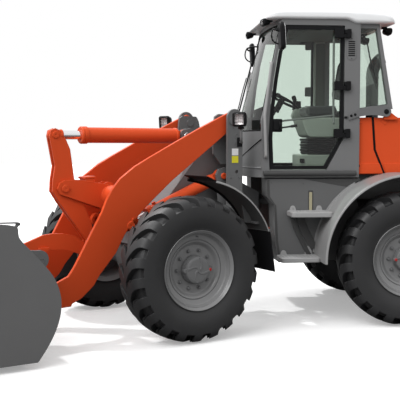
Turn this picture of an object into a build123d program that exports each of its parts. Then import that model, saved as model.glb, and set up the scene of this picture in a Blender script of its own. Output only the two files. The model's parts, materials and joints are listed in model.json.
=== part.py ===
"""Articulated wheel loader with a Z-bar loading arm, parked with its front frame steered to the left.

Millimetres. +X is forward along the rear frame, +Y is left and +Z is up. Everything is drawn about the
point on the ground under the steering pivot. The front frame and what it carries are drawn straight
ahead and turned about the pivot at the end, and then the whole machine is moved so that its origin is
the middle of the ground under it.
"""
import os
from math import atan2, cos, degrees, hypot, radians, sin

from build123d import *

os.makedirs("parts", exist_ok=True)

# ---- driving dimensions -------------------------------------------------------------------------
WHEELBASE = 2640.0
TRACK = 1840.0
TYRE_R = 638.5            # 15.5-25 tyre
TYRE_WIDTH = 394.0
BEAD_R = 318.0
FLANGE_R = 350.0
STEER = 26.28             # front frame turned left, degrees
AXLE_Z = TYRE_R
HALF_BASE = WHEELBASE / 2
HALF_TRACK = TRACK / 2
FIT = 0.3                 # gap between a pin or rod and its hole
PIN_GAP = 5.0             # side gap between an eye and its lugs
SWING_GAP = 8.0           # gap round a door or a lid

# cab
CAB_HALF = 650.0
CAB_FLOOR_Z = 1400.0
CAB_TOP_Z = 2926.0
CAB_REAR_X = -950.0
CAB_WALL = 50.0
ROOF_TOP_Z = 3012.0
GLASS = 6.0

# loading arm pins, in the straight front frame: x, z
BOOM_PIN = (569.0, 1945.0)
LIFT_BASE = (625.0, 1418.0)
LIFT_EYE = (1640.0, 990.0)
TILT_BASE = (835.0, 1806.0)
TILT_EYE = (2205.0, 1810.0)
CRANK_PIN = (2130.0, 1323.0)
LINK_REAR = (1870.0, 690.0)
LINK_FRONT = (2565.0, 740.0)
BUCKET_PIN = (2480.0, 420.0)
ARM_Y = 399.0             # middle of each arm plate
ARM_THICK = 40.0
LIFT_Y = ARM_Y - 69       # middle of each lift cylinder
CHEEK_OUT = LIFT_Y - 68   # outer face of the front frame's side plates
FRAME_HALF = 355.0        # outer face of the rear frame's side plates
CRANK_GAP = 44.0          # between the two bell crank plates
CRANK_PLATE = 23.0
LINK_THICK = 34.0

# bucket
BUCKET_HALF = 1150.0
BUCKET_WALL = 14.0
BUCKET_LIP_X = 3560.0
HOOK_Y = 600.0
HOOK_HOLE = (2571.0, 761.0)
BUCKET_FLOOR_Z = 56.0
BUCKET_BACK_IN = 30.0      # the back plate stands in from the ends' rear edges

# rear end
HOOD_HALF = 615.0
HOOD_WALL = 6.0
HOOD_PIN = (-1215.0, 2042.0)
REAR_X = -2660.0
FENDER_R = 812.0
FRONT_FENDER_R = 790.0
FENDER_IN = CAB_HALF + 5
FENDER_OUT = HALF_TRACK + TYRE_WIDTH / 2
DOOR_PIN = (-797.0, CAB_HALF + 18)

REAR = []                 # nodes carried by the rear frame, drawn in place
FRONT = []                # nodes carried by the front frame, drawn straight ahead


def side(y):
    """Upright plane at y: sketch x is forward, sketch y is up, and extruding goes to the right."""
    return Plane.XZ.offset(-y)


def keep(part, name, group):
    """Label a finished piece and put it with the frame that carries it."""
    part.label = name
    group.append(part)


# ---- wheels -------------------------------------------------------------------------------------
with BuildPart() as tyre:
    with BuildSketch(Plane.XY):
        with BuildLine():
            Line((BEAD_R, -150), (BEAD_R, 150))
            Line((BEAD_R, 150), (352, 157))
            ThreePointArc((352, 157), (470, TYRE_WIDTH / 2), (590, 186))
            Line((590, 186), (626, 172))
            ThreePointArc((626, 172), (TYRE_R, 0), (626, -172))
            Line((626, -172), (590, -186))
            ThreePointArc((590, -186), (470, -TYRE_WIDTH / 2), (352, -157))
            Line((352, -157), (BEAD_R, -150))
        make_face()
    revolve(axis=Axis.Y)

RIM_OUTLINE = (           # radius, distance outboard of the wheel's middle
    (0, 150), (98, 150), (128, 138), (158, 104), (164, 58), (238, 58), (258, 96), (300, 100),
    (300, 176), (FLANGE_R, 176), (FLANGE_R, 160), (BEAD_R - FIT, 150), (BEAD_R - FIT, -150),
    (FLANGE_R, -160), (FLANGE_R, -176), (300, -176), (300, 80), (268, 76), (246, 40), (150, 40),
    (150, -60), (60 + FIT, -60), (60 + FIT, 44), (0, 44))
with BuildPart() as rim:
    with BuildSketch(Plane.XY):
        Polygon(*RIM_OUTLINE, align=None)
    revolve(axis=Axis.Y)

for end, group, x in (("front", FRONT, HALF_BASE), ("rear", REAR, -HALF_BASE)):
    for hand, y, turn in (("left", HALF_TRACK, 0), ("right", -HALF_TRACK, 180)):
        at = Location((x, y, AXLE_Z), (0, 0, turn))
        keep(tyre.part.moved(at), f"tyre_{end}_{hand}", group)
        keep(rim.part.moved(at), f"rim_{end}_{hand}", group)

# ---- axles --------------------------------------------------------------------------------------
HALF_AXLE = ((0, 0), (212, 0), (212, 110), (112, 300), (105, HALF_TRACK - 230), (150, HALF_TRACK - 160),
             (150, HALF_TRACK - 67), (60, HALF_TRACK - 67), (60, HALF_TRACK + 36), (0, HALF_TRACK + 36))
SHAFT_RISE = 110.0        # the propeller shaft runs above the axle's middle
SHAFT_R = 36.0
for end, group, x, nose, pad_y in (("front", FRONT, HALF_BASE, -1, CHEEK_OUT),
                                   ("rear", REAR, -HALF_BASE, 1, FRAME_HALF - 10)):
    with BuildPart() as axle:
        with BuildSketch(Plane.XY):
            Polygon(*HALF_AXLE, align=None)
        revolve(axis=Axis.Y)
        mirror(about=Plane.XZ)
        with BuildSketch(Plane.YZ):
            with Locations((0, 40)):
                Circle(125)
        extrude(amount=290 * nose)
        with BuildSketch(Plane.YZ):
            with Locations((0, SHAFT_RISE)):
                Circle(SHAFT_R)
        extrude(amount=(HALF_BASE - 150) * nose)
        with BuildSketch(Plane.XY.offset(80)):
            with Locations((0, pad_y), (0, -pad_y)):
                Rectangle(180, 100)
        extrude(amount=70)
    keep(axle.part.moved(Location((x, 0, AXLE_Z))), f"{end}_axle", group)

# ---- rear frame ---------------------------------------------------------------------------------
PLATE = 25.0
PIVOT_R = 95.0
PIVOT_PIN_R = 35.0
UPPER_LUG_Z = 1110.0
LOWER_LUG_Z = 600.0
LUG = 45.0
BELLY_Z = 545.0
BANDS = ((BELLY_Z, 660), (1050, 1210))      # bottom and top of each bulkhead band; the space between is open
STEER_Z = 800.0
STEER_BASE = (-640.0, 215.0)
STEER_EYE = (250.0, 155.0)                # in the straight front frame
STEER_PIN_R = 22.0
STEER_EYE_R = 42.0
STEER_EYE_W = 44.0
REAR_PLATE = ((-230, BELLY_Z), (-230, 1210), (-420, 1330), (-960, 1330), (-1060, 1010), (-2330, 1010),
              (-2330, 700), (-HALF_BASE - 340, 700), (-HALF_BASE - 240, AXLE_Z + 150),
              (-HALF_BASE + 240, AXLE_Z + 150), (-HALF_BASE + 480, BELLY_Z))
with BuildPart() as rear_frame:
    with BuildSketch(side(FRAME_HALF)):
        Polygon(*REAR_PLATE, align=None)
    extrude(amount=PLATE)
    mirror(about=Plane.XZ)
    for low, high in BANDS:
        with BuildSketch(Plane.YZ.offset(-230)):
            with Locations((0, (low + high) / 2)):
                Rectangle(2 * FRAME_HALF, high - low)
        extrude(amount=-30)
    for z in (STEER_Z - STEER_EYE_W / 2 - PIN_GAP - PLATE, STEER_Z + STEER_EYE_W / 2 + PIN_GAP):
        for sign in (1, -1):
            with BuildSketch(Plane.XY.offset(z)):
                with Locations((STEER_BASE[0], sign * (STEER_BASE[1] + FRAME_HALF - PLATE) / 2 - sign * 20)):
                    Rectangle(110, FRAME_HALF - PLATE - STEER_BASE[1] + 40)
            extrude(amount=PLATE)
    with BuildSketch(Plane.XY.offset(STEER_Z - STEER_EYE_W / 2 - PIN_GAP - PLATE - 10)):
        with Locations((STEER_BASE[0], STEER_BASE[1]), (STEER_BASE[0], -STEER_BASE[1])):
            Circle(STEER_PIN_R)
    extrude(amount=STEER_EYE_W + 2 * (PIN_GAP + PLATE + 10))
    for x in (-960.0, -1470.0, -2290.0):
        with BuildSketch(Plane.YZ.offset(x)):
            with Locations((0, 900)):
                Rectangle(2 * FRAME_HALF - 2 * PLATE, 200)
        extrude(amount=-25)
    for z in (UPPER_LUG_Z, LOWER_LUG_Z):
        with BuildSketch(Plane.XY.offset(z)):
            with BuildLine():
                Line((-230, -230), (-230, 230))
                Line((-230, 230), (-30, PIVOT_R))
                ThreePointArc((-30, PIVOT_R), (PIVOT_R, 0), (-30, -PIVOT_R))
                Line((-30, -PIVOT_R), (-230, -230))
            make_face()
        extrude(amount=LUG)
        with BuildSketch(Plane.XY.offset(z - 60)):
            Circle(PIVOT_PIN_R)
        extrude(amount=LUG + 120)
    # pads under the cab floor
    for x in (-480, -900):
        for sign in (1, -1):
            with BuildSketch(Plane.XY.offset(1290)):
                with Locations((x, sign * (FRAME_HALF - FIT - PLATE))):
                    Rectangle(90, 2 * PLATE)
            extrude(amount=CAB_FLOOR_Z - 1290)
keep(rear_frame.part, "rear_frame", REAR)

with BuildPart() as engine:
    with BuildSketch(Plane.XY.offset(900)):
        with Locations((-1880, 0)):
            Rectangle(740, 520)
    extrude(amount=780)
    for x in (-1800, -2100):
        with BuildSketch(Plane.XY.offset(820)):
            with Locations((x, 0)):
                Rectangle(120, 2 * FRAME_HALF - 2 * PLATE)
        extrude(amount=100)
keep(engine.part, "engine", REAR)

COUNTERWEIGHT_FRONT = -2330.0
HITCH = (-2600.0, 0.0)    # towing pin, dropped in from above
HITCH_R = 16.0
with BuildPart() as counterweight:
    with BuildSketch(Plane.XY.offset(600)):
        with BuildLine():
            Polyline((COUNTERWEIGHT_FRONT, 760), (COUNTERWEIGHT_FRONT, -760), (-2560, -760))
            ThreePointArc((-2560, -760), (-2640, -620), (-2655, -400))
            Line((-2655, -400), (-2655, 400))
            ThreePointArc((-2655, 400), (-2640, 620), (-2560, 760))
            Line((-2560, 760), (COUNTERWEIGHT_FRONT, 760))
        make_face()
    extrude(amount=620)
    with BuildSketch(side(70)):
        with Locations((REAR_X + 60, 760)):
            Rectangle(170, 90)
    extrude(amount=140, mode=Mode.SUBTRACT)
    with BuildSketch(Plane.XY.offset(590)):
        with Locations(HITCH):
            Circle(HITCH_R)
    extrude(amount=700, mode=Mode.SUBTRACT)
keep(counterweight.part, "counterweight", REAR)

# side tanks, each a closed casing between the frame and the cab's outer face
TANK = ((-34, 1388), (-38, 1216), (-107, 1134), (-123, 769), (-160, 570), (-HALF_BASE + 780, 570),
        (-HALF_BASE + 780, 1388))
TANK_ARC_R = FENDER_R + 4
TANK_IN = FRAME_HALF
TANK_OUT = CAB_HALF
for hand, sign in (("left", 1), ("right", -1)):
    with BuildPart() as tank:
        with BuildSketch(side(TANK_OUT)):
            Polygon(*TANK, align=None)
        extrude(amount=TANK_OUT - TANK_IN)
        with BuildSketch(side(TANK_OUT)):
            Polygon((-HALF_BASE + 360, 1388), (-HALF_BASE + 781, 1388), (-HALF_BASE + 781, 570),
                    (-HALF_BASE + 360, 570), align=None)
            with Locations((-HALF_BASE, AXLE_Z)):
                Circle(TANK_ARC_R, mode=Mode.SUBTRACT)
        extrude(amount=TANK_OUT - TANK_IN)
        if sign < 0:
            mirror(about=Plane.XZ, mode=Mode.REPLACE)
    keep(tank.part, f"side_tank_{hand}", REAR)

STEP_OUT = 930.0
STEP_RISE = 46.0
STEPS = ((-186, -611, 1048), (-93, -498, 603))      # front end, rear end, underside
STEP_EAR = 8.0
EARS = ((-293, 1048, 60), (-554, 1048, 60), (-205, 603, 60), (-452, 603, 100))    # x, foot, height of its hole
STAYS = (((-226, 1048), (-262, 1048), (-436, 649), (-404, 649)),
         ((-309, 1048), (-345, 1048), (-498, 670), (-480, 649), (-470, 649)))
with BuildPart() as steps:
    for x, foot, rise in EARS:
        with BuildSketch(side(TANK_OUT + STEP_EAR + FIT)):
            Polygon((x + 46, foot + 8), (x + 22, foot + rise + 26), (x - 22, foot + rise + 26),
                    (x - 46, foot + 8), align=None)
            fillet(vertices().sort_by(Axis.Y)[-2:], 16)
            with Locations((x, foot + rise)):
                Circle(9, mode=Mode.SUBTRACT)
        extrude(amount=STEP_EAR)
    for stay in STAYS:
        with BuildSketch(side(TANK_OUT + 3 * STEP_EAR)):
            Polygon(*stay, align=None)
        extrude(amount=2 * STEP_EAR)
    for front, rear, z in STEPS:
        with BuildSketch(Plane.XY.offset(z)):
            with Locations(((front + rear) / 2, (TANK_OUT + STEP_OUT) / 2)):
                RectangleRounded(front - rear, STEP_OUT - TANK_OUT - FIT, 24)
        extrude(amount=STEP_RISE)
    mirror(about=Plane.XZ)
keep(steps.part, "access_steps", REAR)

# rear fenders: a rolled sheet with a turned-down lip, from the step to behind the wheel
FENDER_SHEET = 12.0


def fender_arc(radius, sheet, start, stop, x, outer, inner):
    """Rolled fender sheet round a wheel's axis at x, between two angles from forward, degrees."""
    def at(r, a):
        return (x + r * cos(radians(a)), AXLE_Z + r * sin(radians(a)))

    middle = (start + stop) / 2
    with BuildPart() as rolled:
        with BuildSketch(side(outer)):
            with BuildLine():
                ThreePointArc(at(radius, start), at(radius, middle), at(radius, stop))
                Line(at(radius, stop), at(radius - sheet, stop))
                ThreePointArc(at(radius - sheet, stop), at(radius - sheet, middle),
                              at(radius - sheet, start))
                Line(at(radius - sheet, start), at(radius, start))
            make_face()
        extrude(amount=outer - inner)
        mirror(about=Plane.XZ)
    return rolled.part


with BuildPart() as rear_fenders:
    add(fender_arc(FENDER_R, FENDER_SHEET, -2, 150, -HALF_BASE, FENDER_OUT, FENDER_IN))
    # flange that lies on the side tank
    add(fender_arc(FENDER_R + 15, 27, 2, 60, -HALF_BASE, TANK_OUT + 6, TANK_OUT + FIT))
keep(rear_fenders.part, "rear_fenders", REAR)

SHELF_Z = 1000.0          # shelf of the front frame under each boom stand
STAND_OUT = ARM_Y + 71    # outer face of each boom stand
FRONT_FENDER_IN = 720.0
FENDER_END = 157.0        # lower end of the front fender, degrees from forward
FLAP_BAR = (HALF_BASE + FRONT_FENDER_R * cos(radians(FENDER_END)),
            AXLE_Z + FRONT_FENDER_R * sin(radians(FENDER_END)))
BRACKET_X = HALF_BASE - 695
with BuildPart() as front_fenders:
    add(fender_arc(FRONT_FENDER_R, FENDER_SHEET, 101, FENDER_END, HALF_BASE, FENDER_OUT,
                   FRONT_FENDER_IN))
    # flat front part, the bar along the lower end, and the bracket out from the shelf
    with BuildSketch(side(FENDER_OUT)):
        Polygon((HALF_BASE - 152, 1401.5), (HALF_BASE - 152, 1414), (HALF_BASE - 66, 1454),
                (HALF_BASE + 168, 1471), (HALF_BASE + 169, 1459), (HALF_BASE - 64, 1442), align=None)
    extrude(amount=FENDER_OUT - FRONT_FENDER_IN)
    with BuildSketch(side(FENDER_OUT)):
        with Locations((FLAP_BAR[0] + 2, FLAP_BAR[1] + 4)):
            Circle(13)
    extrude(amount=FENDER_OUT - FRONT_FENDER_IN)
    with BuildSketch(Plane.XY.offset(SHELF_Z)):
        with Locations((BRACKET_X, (STAND_OUT + FIT + 1000) / 2)):
            Rectangle(70, 1000 - STAND_OUT - FIT)
    extrude(amount=PLATE)
    mirror(about=Plane.XZ)
keep(front_fenders.part, "front_fenders", FRONT)

with BuildPart() as mud_flaps:
    with BuildSketch(side(FENDER_OUT - 4)):
        Polygon((FLAP_BAR[0] - 8, FLAP_BAR[1] - 9 - FIT), (FLAP_BAR[0] + 4, FLAP_BAR[1] - 9 - FIT),
                (FLAP_BAR[0] - 50, 570), (FLAP_BAR[0] - 62, 570), align=None)
    extrude(amount=FENDER_OUT - FRONT_FENDER_IN - 8)
    mirror(about=Plane.XZ)
keep(mud_flaps.part, "mud_flaps", FRONT)

# ---- cab ----------------------------------------------------------------------------------------
CAB_SECTIONS = (          # height, front face at the middle, front face at the side
    (CAB_FLOOR_Z, 150, 12), (1960, 150, 12), (CAB_TOP_Z, -114, -174))


def cab_solid(inset, bottom, top):
    """The cab's outer form, or the same form drawn in by a wall."""
    with BuildPart() as form:
        for z, front, corner in CAB_SECTIONS:
            height = min(max(z, CAB_FLOOR_Z + bottom), CAB_TOP_Z - top)
            half = CAB_HALF - inset
            with BuildSketch(Plane.XY.offset(height)):
                with BuildLine():
                    ThreePointArc((corner - inset, half), (front - inset, 0), (corner - inset, -half))
                    Polyline((corner - inset, -half), (CAB_REAR_X + inset, -half),
                             (CAB_REAR_X + inset, half), (corner - inset, half))
                make_face()
        loft(ruled=True)
        with BuildSketch(side(CAB_HALF - 30 - inset)):
            Polygon((-880, 2010 + inset), (-1290 + inset, 2070 + inset),
                    (-1140 + inset, CAB_TOP_Z - top), (-880, CAB_TOP_Z - top), align=None)
        extrude(amount=2 * (CAB_HALF - 30 - inset))
    return form.part


DOOR = ((-70, 1482), (-57, 1786), (-72, 2063), (-105, 2338), (-148, 2602), (-212, 2862),
        (-787, 2862), (-787, 1787), (-621, 1482))
DOOR_FRAME = 32.0
WINDSCREEN = (1850, 2880, CAB_HALF - 26)  # bottom, top, half width
REAR_WINDOW = (2120, 2860, CAB_HALF - 90)
QUARTER_WINDOW = ((-950, 2076), (-1240, 2112), (-1118, 2850), (-950, 2850))

outer = cab_solid(0, 0, 0)
inner = cab_solid(CAB_WALL, 40, 40)
with BuildPart() as cab_frame:
    add(outer)
    add(inner, mode=Mode.SUBTRACT)
    for y, gap in ((CAB_HALF + 50, SWING_GAP), (-CAB_HALF + 100, FIT)):     # left swings, right is fixed
        with BuildSketch(side(y)):
            Polygon(*DOOR, align=None)
            offset(amount=gap)
        extrude(amount=150, mode=Mode.SUBTRACT)
    with BuildSketch(side(CAB_HALF + 50)):
        Polygon(*QUARTER_WINDOW, align=None)
    extrude(amount=2 * CAB_HALF + 100, mode=Mode.SUBTRACT)
    with BuildSketch(Plane.YZ.offset(-500)):
        with Locations((0, (WINDSCREEN[0] + WINDSCREEN[1]) / 2)):
            Rectangle(2 * WINDSCREEN[2], WINDSCREEN[1] - WINDSCREEN[0])
    extrude(amount=800, mode=Mode.SUBTRACT)
    with BuildSketch(Plane.YZ.offset(-1000)):
        with Locations((0, (REAR_WINDOW[0] + REAR_WINDOW[1]) / 2)):
            Rectangle(2 * REAR_WINDOW[2], REAR_WINDOW[1] - REAR_WINDOW[0])
    extrude(amount=-400, mode=Mode.SUBTRACT)
keep(cab_frame.part, "cab_frame", REAR)

ROOF_HALF = CAB_HALF + 30
ROOF_SIDE = ((70, 2926), (62, 2950), (-12, 2984), (-201, 3002), (-571, ROOF_TOP_Z), (-990, ROOF_TOP_Z - 4),
             (-1200, 2984), (-1288, 2940), (-1305, 2891), (-889, 2891), (-809, 2926))
ROOF_END = ((ROOF_HALF, 2880), (ROOF_HALF, 2962), (ROOF_HALF - 22, 2988), (ROOF_HALF - 80, 3002),
            (ROOF_HALF - 330, ROOF_TOP_Z), (330 - ROOF_HALF, ROOF_TOP_Z), (80 - ROOF_HALF, 3002),
            (22 - ROOF_HALF, 2988), (-ROOF_HALF, 2962), (-ROOF_HALF, 2880))
with BuildPart() as cab_roof:
    with BuildSketch(Plane.XY.offset(2880)):
        with BuildLine():
            ThreePointArc((-10, ROOF_HALF - 40), (60, 0), (-10, 40 - ROOF_HALF))
            Polyline((-10, 40 - ROOF_HALF), (-50, -ROOF_HALF), (-1240, -ROOF_HALF), (-1275, 40 - ROOF_HALF))
            ThreePointArc((-1275, 40 - ROOF_HALF), (-1303, 0), (-1275, ROOF_HALF - 40))
            Polyline((-1275, ROOF_HALF - 40), (-1240, ROOF_HALF), (-50, ROOF_HALF), (-10, ROOF_HALF - 40))
        make_face()
    extrude(amount=200)
    with BuildSketch(side(ROOF_HALF + 20)):
        Polygon(*ROOF_SIDE, align=None)
    extrude(amount=2 * ROOF_HALF + 40, mode=Mode.INTERSECT)
    with BuildSketch(Plane.YZ.offset(-1400)):
        Polygon(*ROOF_END, align=None)
    extrude(amount=1600, mode=Mode.INTERSECT)
    # room for the top of the cab
    with BuildSketch(Plane.XY.offset(2800)):
        with Locations((-450, 0)):
            Rectangle(1440, 2 * CAB_HALF + 2 * FIT)
        with Locations((-300, 0)):
            Rectangle(1018, 2 * ROOF_HALF + 40)
    extrude(amount=CAB_TOP_Z + FIT - 2800, mode=Mode.SUBTRACT)
keep(cab_roof.part, "cab_roof", REAR)

# glass: every pane is its own solid, seated in its opening
PANE_IN = 16.0            # outer face of a pane, inside the wall's outer face
with BuildPart() as cab_glass:
    add(cab_solid(PANE_IN, 0.5, 0.5))
    add(cab_solid(PANE_IN + GLASS, 0.2, 0.2), mode=Mode.SUBTRACT)
    with BuildPart(mode=Mode.INTERSECT):
        with BuildSketch(Plane.YZ.offset(-500)):
            with Locations((0, (WINDSCREEN[0] + WINDSCREEN[1]) / 2)):
                Rectangle(2 * (WINDSCREEN[2] - FIT), WINDSCREEN[1] - WINDSCREEN[0] - 2 * FIT)
        extrude(amount=800)
        with BuildSketch(Plane.YZ.offset(-1000)):
            with Locations((0, (REAR_WINDOW[0] + REAR_WINDOW[1]) / 2)):
                Rectangle(2 * (REAR_WINDOW[2] - FIT), REAR_WINDOW[1] - REAR_WINDOW[0] - 2 * FIT)
        extrude(amount=-400)
        with BuildSketch(side(CAB_HALF)):
            Polygon(*QUARTER_WINDOW, align=None)
            offset(amount=-FIT)
        extrude(amount=2 * CAB_HALF)
keep(cab_glass.part, "cab_glass", REAR)


def door_leaf(outer_y):
    """Framed leaf in the side of the cab: the frame and its pane, closed, on the left."""
    with BuildPart() as frame:
        with BuildSketch(side(outer_y)):
            Polygon(*DOOR, align=None)
            offset(amount=-DOOR_FRAME, mode=Mode.SUBTRACT)
        extrude(amount=36)
    with BuildPart() as pane:
        with BuildSketch(side(outer_y - 15)):
            Polygon(*DOOR, align=None)
            offset(amount=-DOOR_FRAME - FIT, mode=Mode.REPLACE)
        extrude(amount=GLASS)
    return frame.part, pane.part


HINGE_Z = (1830.0, 2290.0, 2790.0)
door_frame, door_pane = door_leaf(CAB_HALF)
with BuildPart() as door:
    add(door_frame)
    for z in HINGE_Z:
        with BuildSketch(Plane.XY.offset(z - 40)):
            Polygon((-690, CAB_HALF), (-690, CAB_HALF + 30), (-760, CAB_HALF + 36),
                    (DOOR_PIN[0], DOOR_PIN[1] + 18), (DOOR_PIN[0], DOOR_PIN[1] - 12),
                    (-770, CAB_HALF), align=None)
        extrude(amount=36)
        with BuildSketch(Plane.XY.offset(z - 40)):
            with Locations(DOOR_PIN):
                Circle(17)
        extrude(amount=36)
        with BuildSketch(Plane.XY.offset(z - 41)):
            with Locations(DOOR_PIN):
                Circle(8 + FIT)
        extrude(amount=40, mode=Mode.SUBTRACT)
keep(door.part, "door_left", REAR)
keep(door_pane, "door_glass_left", REAR)

# the right side has the same leaf, fixed as the emergency exit
with BuildPart() as exit_window:
    add(door_frame)
    mirror(about=Plane.XZ, mode=Mode.REPLACE)
keep(exit_window.part, "exit_window_right", REAR)
with BuildPart() as exit_pane:
    add(door_pane)
    mirror(about=Plane.XZ, mode=Mode.REPLACE)
keep(exit_pane.part, "exit_glass_right", REAR)

with BuildPart() as door_hinges:
    for z in HINGE_Z:
        with BuildSketch(Plane.XY.offset(z + 2)):
            Polygon((DOOR_PIN[0] + 10, DOOR_PIN[1] + 17), (DOOR_PIN[0] - 20, DOOR_PIN[1] + 17),
                    (-850, CAB_HALF + 20), (-850, CAB_HALF), (DOOR_PIN[0] + 8, CAB_HALF),
                    align=None)
        extrude(amount=36)
        with BuildSketch(Plane.XY.offset(z - 38)):
            with Locations(DOOR_PIN):
                Circle(8)
        extrude(amount=60)
keep(door_hinges.part, "door_hinge_pins", REAR)

# ---- cab inside ---------------------------------------------------------------------------------
FLOOR_IN = CAB_FLOOR_Z + 40
with BuildPart() as seat_base:
    with BuildSketch(Plane.XY.offset(FLOOR_IN)):
        with Locations((-645, 0)):
            Rectangle(380, 400)
    extrude(amount=180)
    with BuildSketch(Plane.XY.offset(FLOOR_IN + 180)):
        with Locations((-690, 0)):
            Rectangle(330, 360)
    extrude(amount=170)
    with BuildSketch(side(230)):
        Polygon((-520, FLOOR_IN + 350), (-860, FLOOR_IN + 350), (-885, FLOOR_IN + 420),
                (-885, FLOOR_IN + 560), (-520, FLOOR_IN + 560), (-500, FLOOR_IN + 500), align=None)
    extrude(amount=460)
    with BuildSketch(side(60)):
        Polygon((-860, FLOOR_IN + 540), (-892, FLOOR_IN + 540), (-892, FLOOR_IN + 685),
                (-1000, FLOOR_IN + 685), (-1062, FLOOR_IN + 1020), (-1034.5, FLOOR_IN + 1020),
                (-975.3, FLOOR_IN + 718), (-975.3, FLOOR_IN + 705), (-873, FLOOR_IN + 705),
                (-873, FLOOR_IN + 560), (-860, FLOOR_IN + 560), align=None)
    extrude(amount=120)
keep(seat_base.part, "seat_base", REAR)

with BuildPart() as seat:
    with BuildSketch(Plane.XY.offset(FLOOR_IN + 560 + FIT)):
        with Locations((-685, 0)):
            Rectangle(370, 480)
        fillet(vertices(), 60)
    extrude(amount=110)
    with BuildSketch(side(230)):
        Polygon((-880, FLOOR_IN + 720), (-990, FLOOR_IN + 1260), (-1080, FLOOR_IN + 1255),
                (-975, FLOOR_IN + 720), align=None)
    extrude(amount=460)
keep(seat.part, "seat_cushions", REAR)

with BuildPart() as console:
    with BuildSketch(side(-262)):
        Polygon((-480, 1960), (-500, 2110), (-892, 2120), (-892, 1800), (-560, 1800), align=None)
    extrude(amount=110)
    with BuildSketch(Plane.XY.offset(FLOOR_IN)):
        with Locations((-760, -317)):
            Rectangle(240, 110)
    extrude(amount=400)
    with BuildSketch(Plane.XY.offset(2100)):
        with Locations((-540, -317)):
            Circle(45)
    extrude(amount=50)
    with BuildSketch(Plane.XY.offset(2140)):
        with Locations((-540, -317)):
            Circle(18)
    extrude(amount=110)
keep(console.part, "side_console", REAR)

WHEEL_TILT = 28.0
column_top = Plane(origin=(-310, 0, 2195), x_dir=(0, 1, 0), z_dir=(-sin(radians(WHEEL_TILT)), 0,
                                                                   cos(radians(WHEEL_TILT))))
with BuildPart() as steering_column:
    with BuildSketch(Plane.XY.offset(FLOOR_IN)):
        with Locations((-60, 0)):
            Rectangle(200, 300)
    extrude(amount=560)
    with BuildSketch(side(80)):
        Polygon((-20, FLOOR_IN + 500), (-20, FLOOR_IN + 640), (-170, 2140), (-250, 2090),
                (-150, FLOOR_IN + 480), align=None)
    extrude(amount=160)
    with BuildSketch(column_top.offset(-150)):
        Circle(32)
    extrude(amount=150)
    with BuildSketch(column_top):
        Circle(70)
    extrude(amount=18)
    with BuildSketch(column_top):
        for turn in (90, 210, 330):
            with Locations(Rot(0, 0, turn)):
                with Locations((100, 0)):
                    Rectangle(136, 30)
    extrude(amount=14)
    with BuildSketch(Plane(origin=column_top.origin, x_dir=column_top.x_dir,
                           z_dir=column_top.y_dir)):
        with Locations((170, 8)):
            Circle(14)
    revolve(axis=Axis(column_top.origin, column_top.z_dir))
keep(steering_column.part, "steering_column", REAR)

# ---- cab outside --------------------------------------------------------------------------------
RAIL_R = 14.0
with BuildPart() as handrails:
    with BuildLine():
        FilletPolyline((-20, CAB_HALF, 1600), (-20, CAB_HALF + 42, 1600), (-6, CAB_HALF + 42, 2000),
                       (-70, CAB_HALF + 42, 2510), (-70, CAB_HALF - 8, 2510), radius=30)
    with BuildSketch(Plane(origin=(-20, CAB_HALF, 1600), z_dir=(0, 1, 0))):
        Circle(RAIL_R)
    sweep()
    mirror(about=Plane.XZ)
keep(handrails.part, "cab_handrails", REAR)

SILL_R = 26.0
with BuildPart() as sills:
    with BuildSketch(Plane.YZ.offset(2)):
        with Locations((CAB_HALF + FIT + SILL_R, 1442)):
            Circle(SILL_R)
    extrude(amount=-918)
    fillet(sills.faces().sort_by(Axis.X)[0].edges(), 12)
    mirror(about=Plane.XZ)
keep(sills.part, "cab_sills", REAR)

MIRROR_Y = 880.0
with BuildPart() as mirrors:
    with BuildSketch(Plane.YZ.offset(-100)):
        with Locations((MIRROR_Y, 2735)):
            RectangleRounded(150, 262, 60)
    extrude(amount=-45)
    with BuildLine():
        FilletPolyline((-166, CAB_HALF + 11, 2800), (-140, CAB_HALF + 51, 2815), (-60, MIRROR_Y - 60, 2800),
                       (-60, MIRROR_Y, 2780), (-112, MIRROR_Y, 2760), radius=12)
    with BuildSketch(Plane(origin=(-166, CAB_HALF + 11, 2800), z_dir=(26, 40, 15))):
        Circle(9)
    sweep()
    with BuildSketch(side(CAB_HALF + 12)):
        with Locations((-167, 2800)):
            Rectangle(30, 60)
    extrude(amount=12 - FIT)
    mirror(about=Plane.XZ)
keep(mirrors.part, "mirrors", REAR)

LAMP_TABLE = ((-60, 500, CAB_TOP_Z, 1), (-1245, 400, 2891 - FIT, -1))    # back x, y, top, way it faces
with BuildPart() as roof_lamps:
    for x, y, top, way in LAMP_TABLE:
        with BuildSketch(Plane.YZ.offset(x)):
            with Locations((y, top - 38), (-y, top - 38)):
                RectangleRounded(150, 76, 20)
        extrude(amount=90 * way)
keep(roof_lamps.part, "roof_lamps", REAR)

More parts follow.
